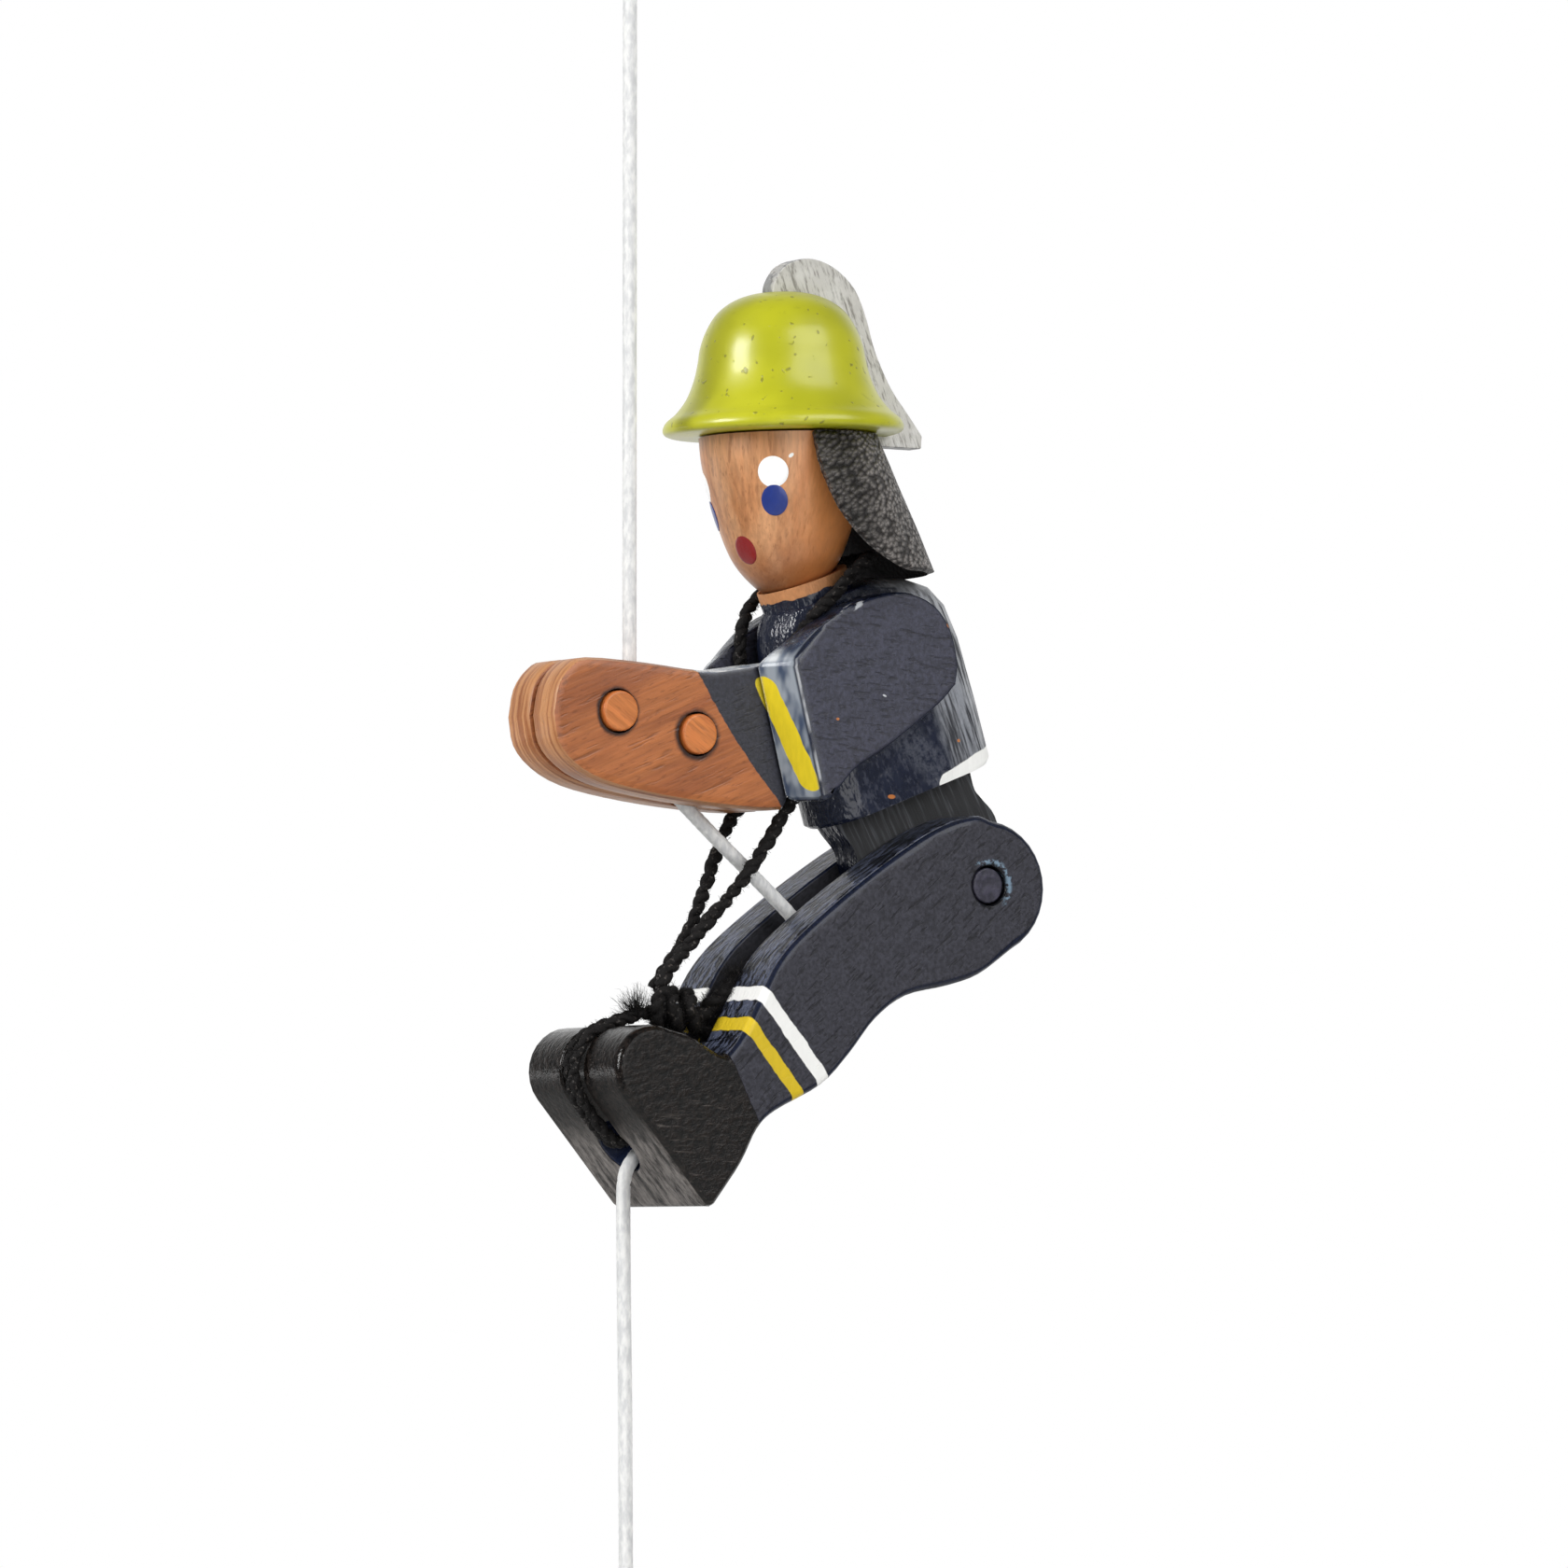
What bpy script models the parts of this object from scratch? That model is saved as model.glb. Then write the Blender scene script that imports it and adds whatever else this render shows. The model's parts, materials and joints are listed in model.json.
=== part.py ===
"""Wooden firefighter that climbs a cord, hanging from a knotted loop.

Units are metres and +Z is up. The cord hangs along Z through the origin, which is
where a hook bears in the loop. The figure faces -X and its left side faces -Y.
Three empties carry the figure: the grip pivot between the two hand pegs, and from it
the torso and the legs, both turned about the hip pin.
"""

import math

import bmesh
import bpy
from mathutils import Vector

# Clearances
SEAT_GAP = 0.0003
PIN_CLEARANCE = 0.0003
CORD_CLEARANCE = 0.0005

# Cord, elastic and their knots
CORD_D = 0.0020
ELASTIC_D = 0.0021
LOOP_KNOT_TOP = -0.0145
LOOP_KNOT_LENGTH = 0.0062
END_KNOT_TOP = -0.2428
KNOT_RADIUS = 0.0028
ELASTIC_KNOT_RADIUS = 0.0025

# Places of the joints and of the head, as (x, z)
GRIP_PIVOT = (0.0010, -0.1233)
HIP_PIVOT = (0.0520, -0.1440)
HEAD_SEAT = (0.0257, -0.1040)
TORSO_LEAN = math.radians(21.0)
LEG_SWING = math.radians(49.4)
HEAD_LEAN = math.radians(1.5)

# Legs with boots, measured down from the hip pin and forward of it
LEG_HIP_WIDTH = 0.0230
LEG_SOLE_WIDTH = 0.0254
LEG_EDGE_ROUND = 0.0012
LEG_SLOT_WIDTH = 0.0060
LEG_SLOT_END = 0.0460
HIP_ROUND = 0.0094
HIP_ROUND_FORWARD = -0.0004
SOLE_DOWN = 0.0651
TOE_RADIUS = 0.0061
TOE_FORWARD = 0.0159
HEEL_FORWARD = -0.0029
HEEL_RADIUS = 0.0015
SOLE_BORE_D = 0.0076
SOLE_BORE_FORWARD = 0.0067
TOE_GROOVE_WIDTH = 0.0060
TOE_GROOVE_DEPTH = 0.0015

# Pins and pegs
HIP_PIN_D = 0.0050
HIP_PIN_RECESS = 0.0004
CORD_PIN_D = 0.0025
CORD_PIN_LENGTH = 0.0200
CORD_PIN_DOWN = 0.0242
CORD_PIN_FORWARD = 0.0026
PEG_D = 0.0056
PEG_PROUD = 0.0008
FRONT_PEG = (-0.0067, 0.0022)
REAR_PEG = (0.0060, -0.0006)
NECK_DOWEL_D = 0.0060
NECK_DOWEL_BOTTOM = 0.0390
NECK_DOWEL_TOP = 0.0550

# Arms
HAND_THICKNESS = 0.0065
HAND_EDGE_ROUND = 0.0013
UPPER_ARM_THICKNESS = 0.0054
UPPER_ARM_MITRE = 0.0037
UPPER_ARM_MITRE_LENGTH = 0.0100
UPPER_ARM_EDGE_ROUND = 0.0010

# Torso, measured up its own axis from the hip pin
NECK_X = -0.0070
NECK_RADIUS = 0.0066
NECK_TOP = 0.0485
LEAST_FLAT = 0.0002
HEM_UP = 0.0150

# Head, helmet, crest and neck flap, measured up from the head's lowest point
HEAD_TOP_RADIUS = 0.0119
BRIM_UP = 0.0229
BRIM_RADIUS = 0.0169
DOME_HEIGHT = 0.0200
SPIGOT_RADIUS = 0.0050
SPIGOT_LENGTH = 0.0060
CREST_THICKNESS = 0.0030
FLAP_THICKNESS = 0.0010
FLAP_LENGTH = 0.0208
FLAP_FLARE = math.radians(21.5)
FLAP_BACK_HALF_ANGLE = math.radians(58.0)
FLAP_TOP_HALF_ANGLE = math.radians(103.0)

# Widths that follow from the sizes above
TONGUE_THICKNESS = LEG_SLOT_WIDTH - 2 * SEAT_GAP
TORSO_HALF_WIDTH = SEAT_GAP / 2 + HAND_THICKNESS
UPPER_ARM_INNER = TORSO_HALF_WIDTH + SEAT_GAP
FLAP_TOP_RADIUS = HEAD_TOP_RADIUS + SEAT_GAP

# Resolution
ROUND_SEGMENTS = 32
PIN_SEGMENTS = 24
KNOT_SEGMENTS = 12
CURVE_STEPS = 4
CUT_REACH = 0.05

# Outlines as points that a smooth curve passes through, in metres.
# Legs: (down, forward) from the hip pin.
THIGH_FRONT = [
    (-0.0046, 0.0089), (0.0020, 0.0117), (0.0140, 0.0137), (0.0270, 0.0147),
    (0.0337, 0.0143), (0.0394, 0.0125), (0.0451, 0.0105), (0.0490, 0.0099),
]
INSTEP = [(0.0490, 0.0099), (0.0502, 0.0123), (0.0515, 0.0157)]
CALF_BACK = [
    (0.0567, -0.0030), (0.0516, -0.0012), (0.0475, -0.0012), (0.0394, -0.0033),
    (0.0332, -0.0031), (0.0266, -0.0022), (0.0205, -0.0030), (0.0142, -0.0064), (0.0090, -0.0086),
]
# Arms: (x, z) from the grip pivot.
FOREARM_TOP = [
    (-0.0171, 0.0016), (-0.0163, 0.0056), (-0.0143, 0.0083), (-0.0113, 0.0095),
    (-0.0019, 0.0091), (0.0072, 0.0083), (0.0123, 0.0089), (0.0187, 0.0099),
]
FOREARM_BACK = [(0.0187, 0.0099), (0.0199, 0.0020), (0.0206, -0.0050), (0.0199, -0.0080), (0.0180, -0.0104)]
FOREARM_BOTTOM = [
    (0.0180, -0.0104), (0.0148, -0.0107), (0.0071, -0.0102), (-0.0018, -0.0091),
    (-0.0090, -0.0076), (-0.0136, -0.0054), (-0.0163, -0.0024), (-0.0171, 0.0016),
]
UPPER_ARM_TOP = [
    (0.0150, 0.0088), (0.0160, 0.0103), (0.0216, 0.0142),
    (0.0284, 0.0181), (0.0352, 0.0199), (0.0405, 0.0190),
    (0.0439, 0.0158), (0.0455, 0.0108), (0.0452, 0.0072),
]
UPPER_ARM_BOTTOM = [
    (0.0452, 0.0072), (0.0423, 0.0043), (0.0347, -0.0013),
    (0.0292, -0.0046), (0.0236, -0.0082), (0.0208, -0.0096),
    (0.0195, -0.0088),
]
# Torso: (x, z) from the hip pin in the leaning frame, x to the back.
TONGUE_FRONT = [(-0.0165, 0.0185), (-0.0152, 0.0138), (-0.0140, 0.0105), (-0.0141, 0.0065), (-0.0120, 0.0005)]
TONGUE_BOTTOM = [(-0.0120, 0.0005), (-0.0074, -0.0052), (0.0, -0.0082), (0.0066, -0.0050), (0.0096, 0.0020)]
TONGUE_BACK = [(0.0096, 0.0020), (0.0099, 0.0072), (0.0086, 0.0104), (0.0080, 0.0125), (0.0088, 0.0185)]
# Jacket sections: (height over the hem, front, back).
JACKET_SECTIONS = [
    (0.0000, -0.0172, 0.0118), (0.0006, -0.0179, 0.0125), (0.0090, -0.0173, 0.0131),
    (0.0180, -0.0171, 0.0135), (0.0230, -0.0169, 0.0130), (0.0262, -0.0163, 0.0113),
    (0.0285, -0.0154, 0.0080), (0.0302, -0.0142, 0.0034),
]
# Turned profiles: (radius, height), up the outside.
HEAD_PROFILE = [
    (0.0019, 0.00015), (0.0046, 0.0017), (0.0077, 0.0056), (0.0100, 0.0120),
    (0.0115, 0.0185), (HEAD_TOP_RADIUS, BRIM_UP - SEAT_GAP),
]
HELMET_PROFILE = [
    (0.0164, 0.0020), (0.0150, 0.0032), (0.0135, 0.0052), (0.0123, 0.0078), (0.0117, 0.0105),
    (0.0114, 0.0130), (0.0108, 0.0153), (0.0095, 0.0174), (0.0072, 0.0189), (0.0040, 0.0197),
]
# Crest: (x, z) from the middle of the brim's underside, x to the back.
CREST_OUTER = [
    (-0.0022, 0.0190), (-0.0018, 0.0213), (0.0002, 0.0238), (0.0040, 0.0248), (0.0080, 0.0237),
    (0.0115, 0.0207), (0.0134, 0.0164), (0.0146, 0.0122),
    (0.0171, 0.0070), (0.0202, 0.0029), (0.0222, 0.0002),
]
CREST_FOOT = [(0.0222, 0.0002), (0.0220, -0.0016), (0.0150, -0.0014)]
CREST_SEAT = [
    (0.0150, -0.0014), (0.0118, 0.0030), (0.0096, 0.0065), (0.0088, 0.0100), (0.0082, 0.0135),
    (0.0056, 0.0164), (0.0010, 0.0178), (-0.0022, 0.0190),
]

# Routes of the cord and of the elastic, in metres.
# Cord: (x, z) in the figure's middle plane.
LOOP_ROUTE = [
    (-0.0010, -0.0144), (-0.0025, -0.0108), (-0.0043, -0.0062), (-0.0038, -0.0016), (0.0, 0.0010),
    (0.0038, -0.0016), (0.0043, -0.0062), (0.0025, -0.0108), (0.0010, -0.0144),
]
UPPER_ROUTE = [(0.0, -0.0207), (0.0, -0.0420), (0.0, -0.0660), (0.0, -0.0900), (0.0, -0.1137)]
HANDS_ROUTE = [
    (0.0, -0.1140), (0.0, -0.1180), (0.0001, -0.1212), (0.0008, -0.1243), (0.0024, -0.1267),
    (0.0052, -0.1297), (0.0090, -0.1335),
]
CROSSING_ROUTE = [(0.0092, -0.1337), (0.0143, -0.1381), (0.0197, -0.1426), (0.0251, -0.1472)]
# Cord in the legs: (down, forward) from the hip pin, then (x, z) where it hangs.
LEG_CORD_IN = [(0.0225, 0.0148), (0.0221, 0.0105), (0.0217, 0.0065)]
LEG_CORD_OUT = [(0.0320, 0.0015), (0.0400, 0.0031), (0.0480, 0.0043), (0.0560, 0.0044), (0.0610, 0.0044)]
LEG_CORD_DROP = [(0.0009, -0.1822), (-0.0005, -0.1843), (-0.0009, -0.1868)]
LOWER_ROUTE = [
    (-0.0009, -0.1871), (-0.0008, -0.2010), (-0.0006, -0.2150), (-0.0005, -0.2290), (-0.0004, -0.2428),
]
# Elastic: (x, y, z) from the back of the neck round each side, then down to the feet.
RIGHT_NECK_ROUTE = [
    (0.0362, 0.0040, -0.0986), (0.0328, 0.0074, -0.1001),
    (0.0284, 0.0082, -0.1020), (0.0241, 0.0072, -0.1049),
    (0.0219, 0.0060, -0.1090), (0.0219, 0.0057, -0.1145),
    (0.0242, 0.0052, -0.1205), (0.0259, 0.0050, -0.1258),
]
LEFT_NECK_ROUTE = [
    (0.0362, -0.0042, -0.0985), (0.0335, -0.0077, -0.0996),
    (0.0300, -0.0085, -0.1011), (0.0268, -0.0076, -0.1036),
    (0.0235, -0.0060, -0.1076), (0.0232, -0.0057, -0.1130),
    (0.0250, -0.0052, -0.1205), (0.0259, -0.0050, -0.1258),
]
NAPE = (0.0376, 0.0, -0.0981)
RIGHT_STRAND = [
    (0.0238, 0.0052, -0.1302), (0.0198, 0.0052, -0.1349),
    (0.0166, 0.0042, -0.1402), (0.0112, 0.0024, -0.1506),
    (0.0064, 0.0015, -0.1568), (0.0049, 0.0014, -0.1589),
]
LEFT_STRAND = [
    (0.0245, -0.0050, -0.1306), (0.0222, -0.0048, -0.1345),
    (0.0164, -0.0036, -0.1435), (0.0103, -0.0023, -0.1506),
    (0.0055, -0.0015, -0.1565), (0.0041, -0.0014, -0.1587),
]
ELASTIC_KNOT_FROM = (0.0032, -0.1612)
ELASTIC_KNOT_LENGTH = 0.0108
FOOT_LOOP_ROUTE = [
    (0.0039, -0.0002, -0.1616), (-0.0005, -0.0007, -0.1626),
    (-0.0046, -0.0010, -0.1636), (-0.0079, -0.0012, -0.1656),
    (-0.0097, -0.0013, -0.1686), (-0.0098, -0.0013, -0.1720),
    (-0.0084, -0.0012, -0.1748), (-0.0054, -0.0010, -0.1782),
    (-0.0027, -0.0009, -0.1802), (0.0005, -0.0007, -0.1790),
    (0.0047, -0.0004, -0.1749), (0.0101, 0.0, -0.1704),
    (0.0126, 0.0, -0.1674), (0.0123, 0.0, -0.1641),
]

# Paint, wood and cord: colour, roughness, metallic
FINISHES = {
    "navy_paint": ((0.045, 0.050, 0.070), 0.45, 0.0),
    "beech": ((0.520, 0.270, 0.130), 0.50, 0.0),
    "lime_lacquer": ((0.560, 0.590, 0.035), 0.25, 0.0),
    "silver_paint": ((0.450, 0.450, 0.440), 0.40, 0.3),
    "leather": ((0.085, 0.085, 0.085), 0.80, 0.0),
    "white_cord": ((0.820, 0.820, 0.800), 0.85, 0.0),
    "black_elastic": ((0.016, 0.015, 0.015), 0.90, 0.0),
    "steel": ((0.500, 0.500, 0.490), 0.35, 1.0),
}


def clear_scene():
    for obj in list(bpy.data.objects):
        bpy.data.objects.remove(obj, do_unlink=True)


def make_materials():
    materials = {}
    for name, (colour, roughness, metallic) in FINISHES.items():
        material = bpy.data.materials.new(name)
        material.use_nodes = True
        shader = material.node_tree.nodes["Principled BSDF"]
        shader.inputs["Base Color"].default_value = (*colour, 1.0)
        shader.inputs["Roughness"].default_value = roughness
        shader.inputs["Metallic"].default_value = metallic
        materials[name] = material
    return materials


def pivot(name, place, turn, parent):
    """Empty at an (x, z) place in its parent's frame, turned about Y."""
    empty = bpy.data.objects.new(name, None)
    empty.location = (place[0], 0.0, place[1])
    empty.rotation_euler = (0.0, turn, 0.0)
    empty.parent = parent
    bpy.context.collection.objects.link(empty)
    return empty


def add_mesh(name, bm, parent, material=None):
    """Turn a bmesh into an object with its faces out; without a material it is a cutter."""
    bmesh.ops.recalc_face_normals(bm, faces=bm.faces[:])
    mesh = bpy.data.meshes.new(name)
    bm.to_mesh(mesh)
    bm.free()
    obj = bpy.data.objects.new(name, mesh)
    obj.parent = parent
    bpy.context.collection.objects.link(obj)
    if material is None:
        obj.hide_render = True
        obj.display_type = "WIRE"
    else:
        mesh.materials.append(material)
        mesh.shade_smooth()
        mesh.set_sharp_from_angle(angle=math.radians(35.0))
    return obj


def boolean(target, tool, operation="DIFFERENCE"):
    modifier = target.modifiers.new(tool.name, "BOOLEAN")
    modifier.operation = operation
    modifier.solver = "EXACT"
    modifier.object = tool


def curve_through(points, steps=CURVE_STEPS):
    """Points on a smooth open curve through the given ones, both ends included."""
    given = [Vector(point) for point in points]
    padded = [2 * given[0] - given[1], *given, 2 * given[-1] - given[-2]]
    result = []
    for before, start, end, after in zip(padded, padded[1:], padded[2:], padded[3:]):
        for step in range(steps):
            t = step / steps
            bend = 2 * before - 5 * start + 4 * end - after
            twist = 3 * start - before - 3 * end + after
            result.append(start + 0.5 * ((end - before) * t + bend * t**2 + twist * t**3))
    result.append(given[-1])
    return result


def arc(centre, radius, first, last, steps):
    """Points on an arc, with angles in degrees from the first axis towards the second."""
    result = []
    for step in range(steps + 1):
        angle = math.radians(first + (last - first) * step / steps)
        result.append(Vector((centre[0] + radius * math.cos(angle), centre[1] + radius * math.sin(angle))))
    return result


def joined(*runs):
    """One closed outline from runs of points; points that repeat are kept once."""
    outline = []
    for run in runs:
        for point in run:
            if not outline or (point - outline[-1]).length > 0.00005:
                outline.append(point)
    if (outline[0] - outline[-1]).length < 0.00005:
        outline.pop()
    return outline


def grown(outline, distance):
    """The closed outline moved outwards by a distance."""
    area = sum(a.x * b.y - b.x * a.y for a, b in zip(outline, outline[1:] + outline[:1]))
    side = 1.0 if area > 0 else -1.0
    result = []
    for index, point in enumerate(outline):
        along = outline[(index + 1) % len(outline)] - outline[index - 1]
        result.append(point + side * distance * Vector((along.y, -along.x)).normalized())
    return result


def stacked(rings, bm):
    """Close a stack of equal rings with quads between them and a cap on each end."""
    for lower, upper in zip(rings, rings[1:]):
        count = len(lower)
        for index in range(count):
            follow = (index + 1) % count
            bm.faces.new((lower[index], lower[follow], upper[follow], upper[index]))
    bm.faces.new(rings[0][::-1])
    bm.faces.new(rings[-1])


def edge_steps(thickness, radius):
    """Shares of a plate's thickness where its rings lie, and how far each ring is set in."""
    if not radius:
        return [(0.0, 0.0), (1.0, 0.0)]
    steps = []
    for angle in (math.pi / 2, math.pi / 4, 0.0):
        steps.append((radius * (1.0 - math.sin(angle)) / thickness, radius * (1.0 - math.cos(angle))))
    return [*steps, *[(1.0 - share, inset) for share, inset in reversed(steps)]]


def plate(name, outline, low, high, parent, material=None, high_outline=None, edge_round=0.0):
    """Outline in the XZ plane, carried along Y from low to high, where it may have another shape."""
    bm = bmesh.new()
    rings = []
    for share, inset in edge_steps(abs(high - low), edge_round):
        points = [start.lerp(end, share) for start, end in zip(outline, high_outline or outline)]
        points = grown(points, -inset) if inset else points
        y = low + share * (high - low)
        rings.append([bm.verts.new((point.x, y, point.y)) for point in points])
    stacked(rings, bm)
    return add_mesh(name, bm, parent, material)


def turned(name, profile, parent, material=None, segments=ROUND_SEGMENTS):
    """Profile of (radius, height) points turned about Z, with flat ends."""
    bm = bmesh.new()
    rings = []
    for radius, height in profile:
        ring = []
        for index in range(segments):
            angle = 2 * math.pi * index / segments
            ring.append(bm.verts.new((radius * math.cos(angle), radius * math.sin(angle), height)))
        rings.append(ring)
    stacked(rings, bm)
    return add_mesh(name, bm, parent, material)


def rod(name, place, diameter, low, high, parent, material=None):
    """Round rod along Y through an (x, z) place."""
    outline = arc(place, diameter / 2, 0.0, 360.0 - 360.0 / PIN_SEGMENTS, PIN_SEGMENTS - 1)
    return plate(name, outline, low, high, parent, material)


def upright_rod(name, x, diameter, low, high, parent, material=None):
    """Round rod along Z of its parent's frame, at an x."""
    obj = turned(name, [(diameter / 2, low), (diameter / 2, high)], parent, material, PIN_SEGMENTS)
    obj.location.x = x
    return obj


def channel(name, points, diameter, parent):
    """Round cutter along places in the middle plane, closed at both ends."""
    bm = bmesh.new()
    rings = []
    for index, point in enumerate(points):
        along = points[min(index + 1, len(points) - 1)] - points[max(index - 1, 0)]
        across = Vector((along.z, 0.0, -along.x)).normalized()
        ring = []
        for turn in arc((0.0, 0.0), diameter / 2, 0.0, 337.5, 15):
            place = point + turn.x * across
            ring.append(bm.verts.new((place.x, turn.y, place.z)))
        rings.append(ring)
    stacked(rings, bm)
    return add_mesh(name, bm, parent)


def tube(name, points, diameter, parent, material):
    """Cord along a smooth curve."""
    curve = bpy.data.curves.new(name, "CURVE")
    curve.dimensions = "3D"
    curve.bevel_depth = diameter / 2
    curve.bevel_resolution = 2
    curve.use_fill_caps = True
    spline = curve.splines.new("POLY")
    spline.points.add(len(points) - 1)
    for spline_point, point in zip(spline.points, points):
        spline_point.co = (*point, 1.0)
    spline.use_smooth = True
    obj = bpy.data.objects.new(name, curve)
    obj.parent = parent
    bpy.context.collection.objects.link(obj)
    curve.materials.append(material)
    return obj


def middle(points):
    """Points of the figure's middle plane as places in space."""
    return [(point[0], 0.0, point[1]) for point in points]


def leg_plane(points):
    """(down, forward) points as (x, z) in the leg frame."""
    return [Vector((-forward, -down)) for down, forward in points]


def leg_to_world(points):
    """(down, forward) points as (x, z) in the rest position."""
    cosine = math.cos(LEG_SWING)
    sine = math.sin(LEG_SWING)
    places = []
    for down, forward in points:
        x = HIP_PIVOT[0] - forward * cosine - down * sine
        z = HIP_PIVOT[1] + forward * sine - down * cosine
        places.append((x, z))
    return places


def leg_outline():
    toe_centre = (SOLE_DOWN - TOE_RADIUS, TOE_FORWARD)
    heel_centre = (SOLE_DOWN - HEEL_RADIUS, HEEL_FORWARD)
    hip = arc((0.0, HIP_ROUND_FORWARD), HIP_ROUND, -75.0, -224.0, 14)
    toe = arc(toe_centre, TOE_RADIUS, 155.0, 0.0, 12)
    heel = arc(heel_centre, HEEL_RADIUS, 0.0, -90.0, 3)
    front = curve_through([hip[-1], *THIGH_FRONT])
    instep = curve_through([*INSTEP, toe[0]], 3)
    back = curve_through([heel[-1], *CALF_BACK, hip[0]])
    return leg_plane(joined(hip, front, instep, toe, heel, back))


def toe_groove_outline():
    """Band that the elastic lies in, from the instep over the toe to the sole bore."""
    toe_centre = (SOLE_DOWN - TOE_RADIUS, TOE_FORWARD)
    floor = arc(toe_centre, TOE_RADIUS - TOE_GROOVE_DEPTH, 172.0, 0.0, 11)
    outside = [
        (SOLE_DOWN - TOE_GROOVE_DEPTH, SOLE_BORE_FORWARD),
        (SOLE_DOWN + CUT_REACH, SOLE_BORE_FORWARD),
        (SOLE_DOWN + CUT_REACH, TOE_FORWARD + CUT_REACH),
        (toe_centre[0] - CUT_REACH, TOE_FORWARD + CUT_REACH),
    ]
    return leg_plane([*floor, *outside])


def make_legs(leg_frame, materials):
    half = LEG_HIP_WIDTH / 2
    outline = leg_outline()
    legs = plate("legs", outline, -half, half, leg_frame, materials["navy_paint"], edge_round=LEG_EDGE_ROUND)
    for vert in legs.data.vertices:
        share = max(0.0, -vert.co.z / SOLE_DOWN)
        vert.co.y += math.copysign(share * (LEG_SOLE_WIDTH - LEG_HIP_WIDTH) / 2, vert.co.y)

    slot_box = [
        Vector((-CUT_REACH, CUT_REACH)), Vector((-CUT_REACH, -LEG_SLOT_END)),
        Vector((CUT_REACH, -LEG_SLOT_END)), Vector((CUT_REACH, CUT_REACH)),
    ]
    boolean(legs, plate("slot_cutter", slot_box, -LEG_SLOT_WIDTH / 2, LEG_SLOT_WIDTH / 2, leg_frame))
    bore_low = -SOLE_DOWN - CUT_REACH
    bore_high = -LEG_SLOT_END + LEG_SLOT_WIDTH / 2
    bore = upright_rod("sole_bore_cutter", -SOLE_BORE_FORWARD, SOLE_BORE_D, bore_low, bore_high, leg_frame)
    boolean(legs, bore)
    groove_half = TOE_GROOVE_WIDTH / 2
    boolean(legs, plate("toe_groove_cutter", toe_groove_outline(), -groove_half, groove_half, leg_frame))

    hip_hole_d = HIP_PIN_D + 2 * PIN_CLEARANCE
    boolean(legs, rod("hip_hole_cutter", (0.0, 0.0), hip_hole_d, -CUT_REACH, CUT_REACH, leg_frame))
    pin_half = half - HIP_PIN_RECESS
    rod("hip_pin", (0.0, 0.0), HIP_PIN_D, -pin_half, pin_half, leg_frame, materials["navy_paint"])

    place = (-CORD_PIN_FORWARD, -CORD_PIN_DOWN)
    reach = CORD_PIN_LENGTH / 2
    hole_d = CORD_PIN_D + 2 * PIN_CLEARANCE
    hole_reach = reach + SEAT_GAP
    boolean(legs, rod("cord_pin_cutter", place, hole_d, -hole_reach, hole_reach, leg_frame))
    rod("cord_pin", place, CORD_PIN_D, -reach, reach, leg_frame, materials["steel"])


def jacket_ring(bm, height, front, back):
    """Flat-sided section with half-round front and back."""
    radius = min(TORSO_HALF_WIDTH, (back - front) / 2 - LEAST_FLAT)
    half_turn = ROUND_SEGMENTS // 2
    front_arc = arc((front + radius, 0.0), radius, 90.0, 270.0, half_turn - 1)
    back_arc = arc((back - radius, 0.0), radius, -90.0, 90.0, half_turn - 1)
    return [bm.verts.new((point.x, point.y, height)) for point in (*front_arc, *back_arc)]


def make_torso(torso_frame, materials):
    bm = bmesh.new()
    rings = [jacket_ring(bm, HEM_UP + over, front, back) for over, front, back in JACKET_SECTIONS]
    neck_front = NECK_X - NECK_RADIUS
    neck_back = NECK_X + NECK_RADIUS
    neck_foot = HEM_UP + JACKET_SECTIONS[-1][0] + SEAT_GAP
    rings += [jacket_ring(bm, height, neck_front, neck_back) for height in (neck_foot, NECK_TOP)]
    stacked(rings, bm)
    torso = add_mesh("torso", bm, torso_frame, materials["navy_paint"])

    tongue = joined(curve_through(TONGUE_FRONT), curve_through(TONGUE_BOTTOM), curve_through(TONGUE_BACK))
    half = TONGUE_THICKNESS / 2
    boolean(torso, plate("tongue_joiner", tongue, -half, half, torso_frame), "UNION")
    hole_d = HIP_PIN_D + 2 * PIN_CLEARANCE
    boolean(torso, rod("tongue_hole_cutter", (0.0, 0.0), hole_d, -CUT_REACH, CUT_REACH, torso_frame))
    return torso


def head_curve():
    return curve_through(HEAD_PROFILE)


def make_head(head_frame, torso_frame, torso, materials):
    spigot_top = BRIM_UP + SPIGOT_LENGTH
    outside = [tuple(point) for point in head_curve()]
    profile = [*outside, (SPIGOT_RADIUS, BRIM_UP - SEAT_GAP), (SPIGOT_RADIUS, spigot_top)]
    head = turned("head", profile, head_frame, materials["beech"])

    seat = [(radius + SEAT_GAP, height - SEAT_GAP) for radius, height in outside]
    boolean(torso, turned("head_seat_cutter", seat, head_frame))

    hole_d = NECK_DOWEL_D + 2 * PIN_CLEARANCE
    hole = (NECK_DOWEL_BOTTOM - SEAT_GAP, NECK_DOWEL_TOP + SEAT_GAP)
    cutter = upright_rod("neck_hole_cutter", NECK_X, hole_d, *hole, torso_frame)
    boolean(torso, cutter)
    boolean(head, cutter)
    upright_rod(
        "neck_dowel", NECK_X, NECK_DOWEL_D, NECK_DOWEL_BOTTOM, NECK_DOWEL_TOP, torso_frame, materials["beech"]
    )


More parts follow.
